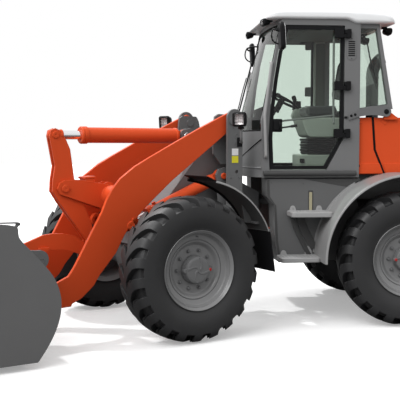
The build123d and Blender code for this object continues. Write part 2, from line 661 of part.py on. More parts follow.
# ---- engine bay ---------------------------------------------------------------------------------
HOOD = ((-1100, 1985), (-1750, 1985), (-2440, 1862), (-2550, 1740), (-2560, 1265), (-2250, 1265),
        (-2180, 1430), (-1225, 1430), (-1124, 1671))
STACK = (-1395.0, -420.0)
STACK_R = 68.0
NOTCH_END = -1525.0
HOOD_PIN_R = 13.0
EAR = 18.0
EAR_OUT = CAB_HALF - 5    # the hood's ears hang just inside the arms that carry them
with BuildPart() as hood:
    with BuildSketch(side(HOOD_HALF)):
        Polygon(*HOOD, align=None)
    extrude(amount=2 * HOOD_HALF)
    with BuildSketch(side(HOOD_HALF - HOOD_WALL)):
        Polygon((-1000, 1985 - HOOD_WALL), (-1750, 1985 - HOOD_WALL), (-2438, 1862 - HOOD_WALL),
                (-2550 + HOOD_WALL, 1740), (-2560 + HOOD_WALL, 1200), (-1000, 1200), align=None)
    extrude(amount=2 * (HOOD_HALF - HOOD_WALL), mode=Mode.SUBTRACT)
    with BuildSketch(side(EAR_OUT)):
        Polygon((-1200, 1965), (-1190, 2042), (-1198, 2060), (-1215, 2068), (-1232, 2060),
                (-1330, 1985), (-1330, 1965), align=None)
    extrude(amount=EAR)
    with BuildSketch(side(EAR_OUT)):
        Polygon((-1200, 1965), (-1200, 1993), (-1330, 1993), (-1330, 1965), align=None)
    extrude(amount=EAR_OUT - HOOD_HALF + 20)
    with BuildSketch(side(EAR_OUT + 5)):
        with Locations(HOOD_PIN):
            Circle(HOOD_PIN_R + FIT)
    extrude(amount=EAR + 10, mode=Mode.SUBTRACT)
    mirror(about=Plane.XZ)
    with BuildSketch(Plane.XY.offset(1900)):
        with Locations(((NOTCH_END - 1000) / 2, STACK[1])):
            Rectangle(-NOTCH_END - 1000, 190)
    extrude(amount=200, mode=Mode.SUBTRACT)
keep(hood.part, "hood", REAR)

BAY_X = CAB_REAR_X - FIT
FRONT_PANEL = ((BAY_X, 1985), (-1090, 1985), (-1114, 1671), (-1215, 1430), (BAY_X, 1430))
with BuildPart() as bay_front:
    with BuildSketch(side(HOOD_HALF)):
        Polygon(*FRONT_PANEL, align=None)
    extrude(amount=2 * HOOD_HALF)
    with BuildSketch(side(HOOD_HALF - HOOD_WALL)):
        Polygon((BAY_X - HOOD_WALL, 1985 - HOOD_WALL), (-1300, 1985 - HOOD_WALL), (-1300, 1400),
                (BAY_X - HOOD_WALL, 1400), align=None)
    extrude(amount=2 * (HOOD_HALF - HOOD_WALL), mode=Mode.SUBTRACT)
keep(bay_front.part, "engine_bay_front", REAR)

with BuildPart() as hinge_arms:
    with BuildSketch(side(CAB_HALF + 12)):
        with BuildLine():
            Line((-838, 1957), (-838, 2012))
            ThreePointArc((-838, 2012), (-1020, 2088), (-1205, 2092))
            ThreePointArc((-1205, 2092), (-1262, 2042), (-1208, 1993))
            ThreePointArc((-1208, 1993), (-1020, 2004), (-838, 1957))
        make_face()
    extrude(amount=12)
    with BuildSketch(side(CAB_HALF + 12)):
        with Locations(HOOD_PIN):
            Circle(HOOD_PIN_R)
    extrude(amount=CAB_HALF + 12 - EAR_OUT + EAR + 2)
    mirror(about=Plane.XZ)
keep(hinge_arms.part, "hood_hinge_arms", REAR)

with BuildPart() as exhaust:
    with BuildLine():
        Line((STACK[0], STACK[1], 1700), (STACK[0], STACK[1], 2480))
        ThreePointArc((STACK[0], STACK[1], 2480), (STACK[0] - 30, STACK[1], 2590),
                      (STACK[0] - 110, STACK[1], 2670))
    with BuildSketch(Plane.XY.offset(1700)):
        with Locations(STACK):
            Circle(STACK_R)
    sweep()
    with BuildSketch(Plane.XY.offset(1500)):
        with Locations(STACK):
            Circle(110)
    extrude(amount=220)
    with BuildSketch(Plane.YZ.offset(STACK[0] - 60)):
        with Locations((-310, 1600)):
            Rectangle(160, 80)
    extrude(amount=-55)
keep(exhaust.part, "exhaust_stack", REAR)

# ---- hydraulic cylinders ------------------------------------------------------------------------


def ram(length, reach, back, neck, barrel_r, rod_r, eye_r, eye_width, pin_r):
    """Cylinder along +X: base pin at the origin, rod pin at length, both pins along Y.

    The barrel ends at reach, and the rod can run back into it by that much from here. Both
    ends are flat tongues as wide as their eye, the barrel's as long as neck.
    """
    inner_end = neck + 25 + back
    with BuildPart() as barrel:
        with BuildSketch(Plane.XZ):
            Circle(eye_r)
            with Locations((neck / 2 + 5, 0)):
                Rectangle(neck + 10, 1.5 * eye_r)
        extrude(amount=eye_width / 2, both=True)
        with BuildSketch(Plane.YZ.offset(neck)):
            Circle(barrel_r)
        extrude(amount=reach - neck)
        with BuildSketch(Plane.YZ.offset(reach - 60)):
            Circle(barrel_r + 6)
        extrude(amount=52)
        with BuildSketch(Plane.YZ.offset(neck + 20)):
            Circle(rod_r + FIT)
        extrude(amount=length, mode=Mode.SUBTRACT)
        with BuildSketch(Plane.XZ):
            Circle(pin_r + FIT)
        extrude(amount=barrel_r * 2, both=True, mode=Mode.SUBTRACT)
    with BuildPart() as rod:
        with BuildSketch(Plane.YZ.offset(inner_end)):
            Circle(rod_r)
        extrude(amount=length - ROD_NECK - inner_end)
        with BuildSketch(Plane.XZ):
            with Locations((length, 0)):
                Circle(eye_r)
            with Locations((length - ROD_NECK / 2 - 5, 0)):
                Rectangle(ROD_NECK + 10, 1.4 * rod_r)
        extrude(amount=eye_width / 2, both=True)
        with BuildSketch(Plane.XZ):
            with Locations((length, 0)):
                Circle(pin_r + FIT)
        extrude(amount=barrel_r * 2, both=True, mode=Mode.SUBTRACT)
    return barrel.part, rod.part


def between(base, tip, y):
    """Placement of a ram from its base pin to its rod pin, both (x, z), in the plane y."""
    rise = degrees(atan2(tip[1] - base[1], tip[0] - base[0]))
    return Location((base[0], y, base[1]), (0, -rise, 0))


def span(base, tip):
    """Distance between two pins."""
    return hypot(tip[0] - base[0], tip[1] - base[1])


ROD_NECK = 120.0
LIFT_PIN_R = 30.0
LIFT_EYE_R = 62.0
lift = ram(span(LIFT_BASE, LIFT_EYE), 880, 40, 100, 57.5, 32, LIFT_EYE_R, 60, LIFT_PIN_R)
for hand, y in (("left", LIFT_Y), ("right", -LIFT_Y)):
    for piece, name in zip(lift, ("barrel", "rod")):
        keep(piece.moved(between(LIFT_BASE, LIFT_EYE, y)), f"lift_{name}_{hand}", FRONT)

TILT_PIN_R = 30.0
TILT_EYE_R = 62.0
tilt = ram(span(TILT_BASE, TILT_EYE), 1114, 240, 90, 72.5, 40, TILT_EYE_R, LINK_THICK, TILT_PIN_R)
for piece, name in zip(tilt, ("barrel", "rod")):
    keep(piece.moved(between(TILT_BASE, TILT_EYE, 0)), f"tilt_{name}", FRONT)

# steering cylinders lie flat each side of the pivot; the front pins turn with the front frame


def turned(x, y):
    """A point of the straight front frame, after steering."""
    c, s = cos(radians(STEER)), sin(radians(STEER))
    return (x * c - y * s, x * s + y * c)


STEER_MIN = 720.0         # pin to pin with the frame fully turned to that side
for hand, sign in (("left", 1), ("right", -1)):
    base = (STEER_BASE[0], sign * STEER_BASE[1])
    eye = turned(STEER_EYE[0], sign * STEER_EYE[1])
    bearing = degrees(atan2(eye[1] - base[1], eye[0] - base[0]))
    steer_ram = ram(span(base, eye), 560, span(base, eye) - STEER_MIN, 75, 38, 20, STEER_EYE_R,
                    STEER_EYE_W, STEER_PIN_R)
    lay_flat = Location((base[0], base[1], STEER_Z), (0, 0, bearing)) * Location((0, 0, 0), (90, 0, 0))
    for piece, name in zip(steer_ram, ("barrel", "rod")):
        keep(piece.moved(lay_flat), f"steer_{name}_{hand}", REAR)

# ---- front frame --------------------------------------------------------------------------------
STAND_IN = ARM_Y - 72     # inner face of its inner plate
STAND_X = (454.0, 628.0)
STAND_TOP_Z = 1975.0
INNER_STAND = ((438, 1530), (440, 1860), (462, 1960), (488, 2010), (655, 2016), (694, 1990), (716, 1780),
               (712, 1630), (625, 1530))      # cut back in front, where the lift cylinder swings up
TIE_HOLE = (520.0, 1458.0)
TIE_R = 18.0
CHEEK = ((110, BELLY_Z), (110, 700), (235, 720), (235, 960), (110, 1050), (110, 1240), (440, 1400),
         (520, 1700), (760, 1700), (815, 1630), (HALF_BASE - 190, 1262), (HALF_BASE + 240, 800),
         (HALF_BASE + 240, 620), (HALF_BASE + 190, 620), (HALF_BASE + 190, AXLE_Z + 150),
         (HALF_BASE - 190, AXLE_Z + 150), (HALF_BASE - 190, 640), (HALF_BASE - 420, BELLY_Z))
with BuildPart() as front_frame:
    with BuildSketch(side(CHEEK_OUT)):
        Polygon(*CHEEK, align=None)
    extrude(amount=PLATE)
    with BuildSketch(side(STAND_OUT)):
        with BuildLine():
            Polyline((STAND_X[0], STAND_TOP_Z), (STAND_X[0], SHELF_Z), (STAND_X[1], SHELF_Z),
                     (STAND_X[1], STAND_TOP_Z))
            ThreePointArc((STAND_X[1], STAND_TOP_Z),
                          ((STAND_X[0] + STAND_X[1]) / 2, STAND_TOP_Z + 87),
                          (STAND_X[0], STAND_TOP_Z))
        make_face()
        with Locations(TIE_HOLE):
            Circle(TIE_R, mode=Mode.SUBTRACT)
    extrude(amount=PLATE)
    with BuildSketch(side(STAND_IN + PLATE)):
        Polygon(*INNER_STAND, align=None)
        fillet(vertices().sort_by(Axis.Y)[-2:], 30)
    extrude(amount=PLATE)
    # back plate and floor that tie the stand to the side plate
    with BuildSketch(Plane.YZ.offset(STAND_X[0])):
        Polygon((CHEEK_OUT - PLATE, 1000), (STAND_OUT, 1000), (STAND_OUT, 1760),
                (STAND_IN, 1760), (CHEEK_OUT - PLATE, 1600), align=None)
    extrude(amount=PLATE)
    with BuildSketch(Plane.XY.offset(1000)):
        with Locations(((STAND_X[0] + BRACKET_X + 275) / 2, (CHEEK_OUT + STAND_OUT) / 2 - 5)):
            Rectangle(BRACKET_X + 275 - STAND_X[0], STAND_OUT - CHEEK_OUT + 10)
    extrude(amount=PLATE)
    # lug outboard of the lift cylinder's base and the pin through it
    with BuildSketch(side(LIFT_Y + 30 + PIN_GAP + PLATE)):
        Polygon((STAND_X[0] + 5, 1000), (STAND_X[0] + 5, 1470), (600, 1500), (675, 1485), (703, 1430),
                (690, 1350), (660, 1000), align=None)
    extrude(amount=PLATE)
    with BuildSketch(side(LIFT_Y + 30 + PIN_GAP + PLATE + 12)):
        with Locations(LIFT_BASE):
            Circle(LIFT_PIN_R)
    extrude(amount=LIFT_Y + 30 + PIN_GAP + PLATE + 12 - CHEEK_OUT + PLATE)
    # boom pin, from the outer plate to the inner one
    with BuildSketch(side(STAND_OUT + 12)):
        with Locations(BOOM_PIN):
            Circle(38)
    extrude(amount=STAND_OUT + 12 - STAND_IN + 8)
    mirror(about=Plane.XZ)
    # plates across: rear bulkhead, sloping face, floor, and the bridge that holds the tilt cylinder
    for x, low, high in ((110, BELLY_Z, 700), (110, 1050, 1240), (980, 820, 1240)):
        with BuildSketch(Plane.YZ.offset(x)):
            with Locations((0, (low + high) / 2)):
                Rectangle(2 * CHEEK_OUT, high - low)
        extrude(amount=PLATE)
    with BuildSketch(side(CHEEK_OUT - 5)):
        Polygon((735, 1690), (790, 1625), (1105, 1257), (1530, 790), (1555, 795), (1135, 1260),
                (815, 1628), (757, 1698), align=None)
    extrude(amount=2 * CHEEK_OUT - 10)
    with BuildSketch(Plane.XY.offset(1675)):
        with Locations((640, 0)):
            Rectangle(240, 2 * CHEEK_OUT)
    extrude(amount=PLATE)
    with BuildSketch(side(LINK_THICK / 2 + PIN_GAP + PLATE)):
        Polygon((530, 1690), (560, 1760), (790, 1880), (880, 1860), (905, 1800), (760, 1675),
                align=None)
    extrude(amount=PLATE)
    with BuildSketch(side(-LINK_THICK / 2 - PIN_GAP)):
        Polygon((530, 1690), (560, 1760), (790, 1880), (880, 1860), (905, 1800), (760, 1675),
                align=None)
    extrude(amount=PLATE)
    with BuildSketch(side(LINK_THICK / 2 + PIN_GAP + PLATE + 10)):
        with Locations(TILT_BASE):
            Circle(TILT_PIN_R)
    extrude(amount=LINK_THICK + 2 * (PIN_GAP + PLATE + 10))
    # lugs inside the cheeks for the steering cylinders, with their pins
    for z in (STEER_Z - STEER_EYE_W / 2 - PIN_GAP - PLATE, STEER_Z + STEER_EYE_W / 2 + PIN_GAP):
        for sign in (1, -1):
            with BuildSketch(Plane.XY.offset(z)):
                Polygon((210, sign * 135), (215, sign * 200), (240, sign * (CHEEK_OUT - 22)),
                        (320, sign * (CHEEK_OUT - 22)), (300, sign * 140), (250, sign * 110), align=None)
            extrude(amount=PLATE)
    # steering pivot lugs, outside the rear frame's
    for z in (UPPER_LUG_Z + LUG + PIN_GAP, UPPER_LUG_Z - PIN_GAP - LUG, LOWER_LUG_Z - PIN_GAP - LUG,
              LOWER_LUG_Z + LUG + PIN_GAP):
        with BuildSketch(Plane.XY.offset(z)):
            with BuildLine():
                Line((120, -180), (120, 180))
                Line((120, 180), (20, PIVOT_R))
                ThreePointArc((20, PIVOT_R), (-PIVOT_R, 0), (20, -PIVOT_R))
                Line((20, -PIVOT_R), (120, -180))
            make_face()
            Circle(PIVOT_PIN_R + FIT, mode=Mode.SUBTRACT)
        extrude(amount=LUG)
keep(front_frame.part, "front_frame", FRONT)

LAMP_BACK = 475.0
with BuildPart() as stand_lamps:
    with BuildSketch(Plane.YZ.offset(LAMP_BACK)):
        with Locations((STAND_OUT + 90, 1948)):
            RectangleRounded(140, 150, 40)
    extrude(amount=105)
    with BuildSketch(Plane.YZ.offset(LAMP_BACK + 20)):
        with Locations((STAND_OUT + 15, 1900)):
            Rectangle(30, 40)
    extrude(amount=30)
    mirror(about=Plane.XZ)
keep(stand_lamps.part, "stand_lamps", FRONT)

# ---- boom ---------------------------------------------------------------------------------------
ARM = ((2357, 527), (2248, 576), (2194, 652), (1921, 1132), (1878, 1232), (1821, 1326), (1739, 1421),
       (1591, 1527), (1434, 1611), (1145, 1757), (910, 1874), (617, 2010), (569, 2030), (500, 1995),
       (484, 1945), (520, 1880), (616, 1821), (907, 1608), (1201, 1394), (1500, 1141), (1656, 973),
       (1708, 902), (1791, 750), (1952, 563), (2012, 472), (2127, 372), (2219, 330), (2229, 307),
       (2330, 302), (2440, 330), (2520, 350), (2560, 390), (2563, 440), (2530, 485), (2470, 500))
CROSS_TUBE = (1672.0, 1243.0)
CROSS_R = 100.0
BRACKET = ((2130, 1400), (1990, 1400), (1672, 1345), (1590, 1290), (1600, 1160), (1740, 1115),
           (2179, 1270), (2205, 1323), (2185, 1375))
with BuildPart() as boom:
    with BuildSketch(side(ARM_Y + ARM_THICK / 2)):
        Polygon(*ARM, align=None)
        with Locations(BOOM_PIN):
            Circle(38 + FIT, mode=Mode.SUBTRACT)
        with Locations(BUCKET_PIN):
            Circle(35 + FIT, mode=Mode.SUBTRACT)
    extrude(amount=ARM_THICK)
    with BuildSketch(side(ARM_Y - ARM_THICK / 2)):
        with Locations(LIFT_EYE):
            Circle(45)
    extrude(amount=ARM_Y - ARM_THICK / 2 - LIFT_Y - 30 - PIN_GAP)
    mirror(about=Plane.XZ)
    with BuildSketch(side(ARM_Y - ARM_THICK / 2)):
        with Locations(CROSS_TUBE):
            Circle(CROSS_R)
    extrude(amount=2 * ARM_Y - ARM_THICK)
    bracket_in = CRANK_GAP / 2 + CRANK_PLATE + PIN_GAP
    for y in (bracket_in + PLATE, -bracket_in):
        with BuildSketch(side(y)):
            Polygon(*BRACKET, align=None)
        extrude(amount=PLATE)
    with BuildSketch(side(bracket_in + PLATE + 10)):
        with Locations(CRANK_PIN):
            Circle(35)
    extrude(amount=2 * (bracket_in + PLATE + 10))
    # stop for the bell crank, and a web from the bracket up to the tube
    with BuildSketch(side(bracket_in + PLATE)):
        Polygon((1836, 1360), (1932, 1380), (1932, 1446), (1840, 1452), align=None)
    extrude(amount=2 * (bracket_in + PLATE))
    for y in (bracket_in + PLATE, -bracket_in):
        with BuildSketch(side(y)):
            Polygon((1760, 1350), (1640, 1335), (1655, 1395), (1690, 1385), align=None)
        extrude(amount=PLATE)
keep(boom.part, "boom", FRONT)

CRANK = ((2205, 1870), (2250, 1850), (2262, 1800), (2212, 1530), (2235, 1400), (2241, 1297), (2170, 1185),
         (1915, 836), (1930, 690), (1895, 637), (1845, 635), (1812, 670), (1815, 730), (1856, 981), (1907, 1106),
         (2000, 1290), (2028, 1401), (2066, 1679), (2106, 1768), (2150, 1845))
with BuildPart() as bell_crank:
    for y in (CRANK_GAP / 2 + CRANK_PLATE, -CRANK_GAP / 2):
        with BuildSketch(side(y)):
            Polygon(*CRANK, align=None)
        extrude(amount=CRANK_PLATE)
    with BuildSketch(side(CRANK_GAP / 2 + CRANK_PLATE)):
        with Locations(CRANK_PIN):
            Circle(68)
    extrude(amount=CRANK_GAP + 2 * CRANK_PLATE)
    with BuildSketch(side(CRANK_GAP / 2 + CRANK_PLATE + 10)):
        with Locations(LINK_REAR):
            Circle(30)
    extrude(amount=CRANK_GAP + 2 * CRANK_PLATE + 20)
    with BuildSketch(side(100)):
        with Locations(CRANK_PIN):
            Circle(35 + FIT)
    extrude(amount=200, mode=Mode.SUBTRACT)
keep(bell_crank.part, "bell_crank", FRONT)

LINK_EYE_R = 60.0
with BuildPart() as tilt_link:
    with BuildSketch(side(LINK_THICK / 2)):
        Polygon((1845, 745), (1934, 826), (2014, 878), (2127, 906), (2238, 912), (2327, 902), (2509, 835),
                (2580, 796), (2619, 757), (2616, 712), (2580, 684), (2540, 688), (2469, 748), (2290, 760),
                (2129, 760), (1990, 715), (1915, 647), (1868, 630), (1826, 650), (1814, 700), align=None)
        with Locations(LINK_REAR):
            Circle(30 + FIT, mode=Mode.SUBTRACT)
        with Locations(LINK_FRONT):
            Circle(30 + FIT, mode=Mode.SUBTRACT)
    extrude(amount=LINK_THICK)
keep(tilt_link.part, "tilt_link", FRONT)

# ---- bucket -------------------------------------------------------------------------------------
BUCKET_BACK = ((2813, BUCKET_FLOOR_Z), (2674, 263), (2645, 332), (2626, 421), (2619, 510), (2632, 602),
               (2668, 704), (2869, 931), (2955, 1024), (2957, 1084))
BUCKET_SIDE = ((BUCKET_LIP_X, BUCKET_FLOOR_Z), *BUCKET_BACK, (2972, 1106), (3032, 1128), (3060, 1138))
SHELL = ((BUCKET_LIP_X, BUCKET_FLOOR_Z), *[(x + BUCKET_BACK_IN, z) for x, z in BUCKET_BACK],
         (3000, 1084), (3000, 1000))
TOP_BAR = (2951.0, 1129.0)
TOP_BAR_R = 14.0
with BuildPart() as bucket:
    with BuildSketch(side(BUCKET_HALF - 1)):
        Polygon(*SHELL, align=None)
    extrude(amount=2 * BUCKET_HALF - 2)
    with BuildSketch(side(BUCKET_HALF - BUCKET_WALL)):
        Polygon(*SHELL, align=None)
        offset(amount=-BUCKET_WALL, mode=Mode.REPLACE)
        Polygon((BUCKET_LIP_X, BUCKET_FLOOR_Z + BUCKET_WALL), (3300, BUCKET_FLOOR_Z + BUCKET_WALL),
                (3001, 1000), (3001, 1139), (BUCKET_LIP_X + 100, 1139),
                (BUCKET_LIP_X + 100, BUCKET_FLOOR_Z + BUCKET_WALL), align=None)
    extrude(amount=2 * (BUCKET_HALF - BUCKET_WALL), mode=Mode.SUBTRACT)
    for y in (BUCKET_HALF, BUCKET_WALL - BUCKET_HALF):
        with BuildSketch(side(y)):
            Polygon(*BUCKET_SIDE, align=None)
        extrude(amount=BUCKET_WALL)
    # thick cutting edge, and the bar and strip along the top of the back
    with BuildSketch(side(BUCKET_HALF)):
        Polygon((BUCKET_LIP_X - 200, BUCKET_FLOOR_Z), (BUCKET_LIP_X, BUCKET_FLOOR_Z),
                (BUCKET_LIP_X - 24, BUCKET_FLOOR_Z + 22), (BUCKET_LIP_X - 200, BUCKET_FLOOR_Z + 22),
                align=None)
        with Locations(TOP_BAR):
            Circle(TOP_BAR_R)
        Polygon((TOP_BAR[0], TOP_BAR[1] + 5), (TOP_BAR[0], TOP_BAR[1] + TOP_BAR_R), (3096, 1152),
                (3096, 1140), (3060, 1136), align=None)
    extrude(amount=2 * BUCKET_HALF)
    for y in (BUCKET_HALF, BUCKET_HALF * 0.34, 5, -BUCKET_HALF * 0.34 + 10, BUCKET_WALL - BUCKET_HALF):
        with BuildSketch(side(y)):
            Polygon((2957, 1040), (2940, 1119), (2949, 1136), (2962, 1136), (2985, 1084), (2990, 1040),
                    align=None)
        extrude(amount=BUCKET_WALL)
    # hooks on the back
    for y in (HOOK_Y + PLATE, -HOOK_Y):
        with BuildSketch(side(y)):
            with Locations((2592, 770)):
                Circle(81)
            Polygon((2592, 851), (2822, 866), (2706, 700), (2668, 610), (2530, 718), align=None)
            with Locations(HOOK_HOLE):
                Circle(17, mode=Mode.SUBTRACT)
        extrude(amount=PLATE)
    # hinge lugs each side of both arms, and the pins through them
    for y in (ARM_Y + ARM_THICK / 2 + PIN_GAP + PLATE, ARM_Y - ARM_THICK / 2 - PIN_GAP):
        with BuildSketch(side(y)):
            Polygon((2418, 400), (2440, 358), (2480, 348), (2692, 300), (2682, 345), (2664, 421),
                    (2656, 520), (2560, 500), (2500, 490), (2440, 478), (2412, 440), align=None)
        extrude(amount=PLATE)
    with BuildSketch(side(ARM_Y + ARM_THICK / 2 + PIN_GAP + PLATE + 12)):
        with Locations(BUCKET_PIN):
            Circle(35)
    extrude(amount=ARM_THICK + 2 * (PIN_GAP + PLATE + 12))
    mirror(about=Plane.XZ)
    link_lug = LINK_THICK / 2 + PIN_GAP
    for y in (link_lug + PLATE, -link_lug):
        with BuildSketch(side(y)):
            Polygon((2503, 750), (2520, 790), (2570, 806), (2816, 852), (2706, 700), (2669, 610),
                    (2600, 630), (2520, 690), align=None)
        extrude(amount=PLATE)
keep(bucket.part, "bucket", FRONT)

# ---- placing and writing ------------------------------------------------------------------------
placed = list(REAR)
for part in FRONT:
    label = part.label
    part = part.rotate(Axis.Z, STEER)
    part.label = label
    placed.append(part)
boxes = [part.bounding_box() for part in placed]
MIDDLE_X = (min(box.min.X for box in boxes) + max(box.max.X for box in boxes)) / 2
MIDDLE_Y = (min(box.min.Y for box in boxes) + max(box.max.Y for box in boxes)) / 2
for part in placed:
    label = part.label
    part = part.moved(Location((-MIDDLE_X, -MIDDLE_Y, 0)))
    part.label = label
    export_step(part, f"parts/{label}.step")
print(f"{len(placed)} nodes; steering pivot at {-MIDDLE_X:.1f}, {-MIDDLE_Y:.1f}")
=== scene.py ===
# %% [markdown]
# # Wheel loader
# The CAD frame is loaded first. Every piece made here is drawn in millimetres in the machine's own
# axes (forward, left, up) from the point on the ground under the steering pivot, and is then scaled
# to metres and moved into the CAD frame. The front half of the machine is steered to the left, so
# its pieces are drawn straight ahead and turned about the pivot.

# %% Load the frame
import json
from math import atan2, copysign, cos, degrees, pi, radians, sin

import bmesh
import bpy
from mathutils import Euler, Matrix, Vector


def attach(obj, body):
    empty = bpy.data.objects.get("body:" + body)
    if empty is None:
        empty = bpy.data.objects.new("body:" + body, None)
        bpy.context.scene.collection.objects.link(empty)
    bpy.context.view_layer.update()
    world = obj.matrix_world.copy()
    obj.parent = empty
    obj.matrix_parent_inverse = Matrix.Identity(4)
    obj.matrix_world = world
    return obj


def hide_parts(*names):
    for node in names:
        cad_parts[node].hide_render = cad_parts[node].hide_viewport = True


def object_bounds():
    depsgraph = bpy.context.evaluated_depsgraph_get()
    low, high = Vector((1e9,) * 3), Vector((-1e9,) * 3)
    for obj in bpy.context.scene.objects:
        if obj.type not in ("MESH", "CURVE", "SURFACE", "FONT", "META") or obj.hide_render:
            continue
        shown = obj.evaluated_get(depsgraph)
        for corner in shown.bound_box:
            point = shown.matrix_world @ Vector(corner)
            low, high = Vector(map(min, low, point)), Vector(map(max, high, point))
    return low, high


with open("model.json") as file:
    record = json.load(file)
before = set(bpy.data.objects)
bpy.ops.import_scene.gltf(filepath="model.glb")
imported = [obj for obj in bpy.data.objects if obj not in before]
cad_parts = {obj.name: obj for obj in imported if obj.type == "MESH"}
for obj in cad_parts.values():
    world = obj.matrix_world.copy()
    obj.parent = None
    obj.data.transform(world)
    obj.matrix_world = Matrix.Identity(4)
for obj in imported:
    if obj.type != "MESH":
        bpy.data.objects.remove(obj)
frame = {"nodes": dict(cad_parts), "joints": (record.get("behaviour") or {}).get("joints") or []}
cad_box = [list(corner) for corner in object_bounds()]
joints = {joint["name"]: joint for joint in frame["joints"]}
nodes = frame["nodes"]

# %% Find the steering pivot and how far the front is turned
pivot = Vector(joints["articulation"]["pos_m"])
left_of_front = Vector(joints["wheel_front_left"]["axis"])
steer = atan2(-left_of_front.x, left_of_front.y)
MM = Matrix.Scale(0.001, 4)
REAR = Matrix.Translation((pivot.x, pivot.y, 0)) @ MM
FRONT = Matrix.Translation((pivot.x, pivot.y, 0)) @ Matrix.Rotation(steer, 4, "Z") @ MM
print("pivot at", tuple(round(v, 3) for v in pivot), "front turned by", round(degrees(steer), 2))

# %% [markdown]
# ## Camera
# The view is from the machine's left, a little ahead of the pivot and about as high as the hinge
# of the loading arm, with a lens long enough to keep the wheels nearly round.

# %% Camera
camera_data = bpy.data.cameras.new("Camera")
camera_data.lens = 75.80
camera_data.sensor_width = 36
camera = bpy.data.objects.new("Camera", camera_data)
bpy.context.scene.collection.objects.link(camera)
bpy.context.scene.camera = camera
yaw, pitch = radians(5.3707), radians(3.8977)
looking = Vector((-sin(yaw) * cos(pitch), -cos(yaw) * cos(pitch), -sin(pitch)))
camera.location = REAR @ Vector((1374.64, 8725.72, 1739.94))
camera.rotation_mode = "QUATERNION"
camera.rotation_quaternion = looking.to_track_quat("-Z", "Y")
print("camera at", tuple(round(v, 3) for v in camera.location))

# %% [markdown]
# ## Floor and light
# A white studio: a low-contrast sky for the fill, one key light high behind the machine's front
# right corner, which lights the tops and throws the shadow towards the viewer, and a broad soft one
# from the front, which models the rims and the tread. The camera and the glass see the floor and the
# sky as white; everything else sees a dim floor, so that the undersides stay dark.

# %% Helper for node materials
def new_material(name):
    """A material with nodes; gives back its node tree with only the output in it."""
    material = bpy.data.materials.new(name)
    material.use_nodes = True
    tree = material.node_tree
    tree.nodes.clear()
    tree.nodes.new("ShaderNodeOutputMaterial").name = "out"
    return material, tree


def node(tree, kind, **sockets):
    """A node of that kind with its sockets set: a value is stored and a socket is linked."""
    made = tree.nodes.new("ShaderNode" + kind)
    for key, value in sockets.items():
        socket = made.inputs[int(key[1:]) if key[0] == "i" and key[1:].isdigit() else key.replace("_", " ")]
        if isinstance(value, bpy.types.NodeSocket):
            tree.links.new(value, socket)
        else:
            socket.default_value = value
    return made


def shown_apart(tree, lit, shown):
    """One shader for what the camera sees, also through glass, and another for all other light."""
    ray = node(tree, "LightPath")
    seen = node(tree, "Math", i0=ray.outputs["Is Camera Ray"], i1=ray.outputs["Is Transmission Ray"])
    seen.operation = "MAXIMUM"
    return node(tree, "MixShader", i0=seen.outputs[0], i1=lit.outputs[0], i2=shown.outputs[0]).outputs[0]

# %% Floor
floor_mesh = bpy.data.meshes.new("floor")
bm = bmesh.new()
bmesh.ops.create_grid(bm, x_segments=2, y_segments=2, size=60)
bm.to_mesh(floor_mesh)
bm.free()
floor = bpy.data.objects.new("floor", floor_mesh)
bpy.context.scene.collection.objects.link(floor)
floor.location = (0, 0, cad_box[0][2] - 0.0005)
white_floor, tree = new_material("white_floor")
matt = node(tree, "BsdfDiffuse", Color=(0.80, 0.80, 0.80, 1))
dim = node(tree, "BsdfDiffuse", Color=(0.16, 0.16, 0.16, 1))
glow = node(tree, "Emission", Color=(1, 1, 1, 1), Strength=0.30)
bright = node(tree, "AddShader", i0=matt.outputs[0], i1=glow.outputs[0])
tree.links.new(shown_apart(tree, dim, bright), tree.nodes["out"].inputs[0])
floor_mesh.materials.append(white_floor)

# %% Sky and key light
scene = bpy.context.scene
scene.view_settings.view_transform = "Standard"
scene.world = bpy.data.worlds.new("studio")
scene.world.use_nodes = True
tree = scene.world.node_tree
tree.nodes.clear()
out = tree.nodes.new("ShaderNodeOutputWorld")
plain = node(tree, "Background", Color=(1, 1, 1, 1), Strength=1.0)
# light comes mostly from above: the sky is brighter towards the top
coords = node(tree, "TexCoord")
split = node(tree, "SeparateXYZ", i0=coords.outputs["Generated"])
climb = node(tree, "MapRange", i0=split.outputs["Z"], i1=-0.2, i2=1.0, i3=0.72, i4=0.95)
fill = node(tree, "Background", Color=(1, 1, 1, 1), Strength=climb.outputs[0])
tree.links.new(shown_apart(tree, fill, plain), out.inputs[0])

for name, energy, spread, towards in (("key", 1.7, 3, (-0.55, 0.62, -1.0)), ("side", 2.1, 45, (-0.8, -0.75, -1.0))):
    lamp_data = bpy.data.lights.new(name, "SUN")
    lamp_data.energy, lamp_data.angle = energy, radians(spread)
    lamp = bpy.data.objects.new(name, lamp_data)
    scene.collection.objects.link(lamp)
    lamp.rotation_mode = "QUATERNION"
    lamp.rotation_quaternion = Vector(towards).to_track_quat("-Z", "Y")
print("studio ready")

# %% [markdown]
# ## Finishes
# Each finish starts from its plain colour and gets what the real one has: sprayed paint has a
# faint orange-peel and small shifts of tone, rubber is matt and dusty, castings are coarse.
# Patterns follow Object coordinates, so that they stay on the piece when it moves.


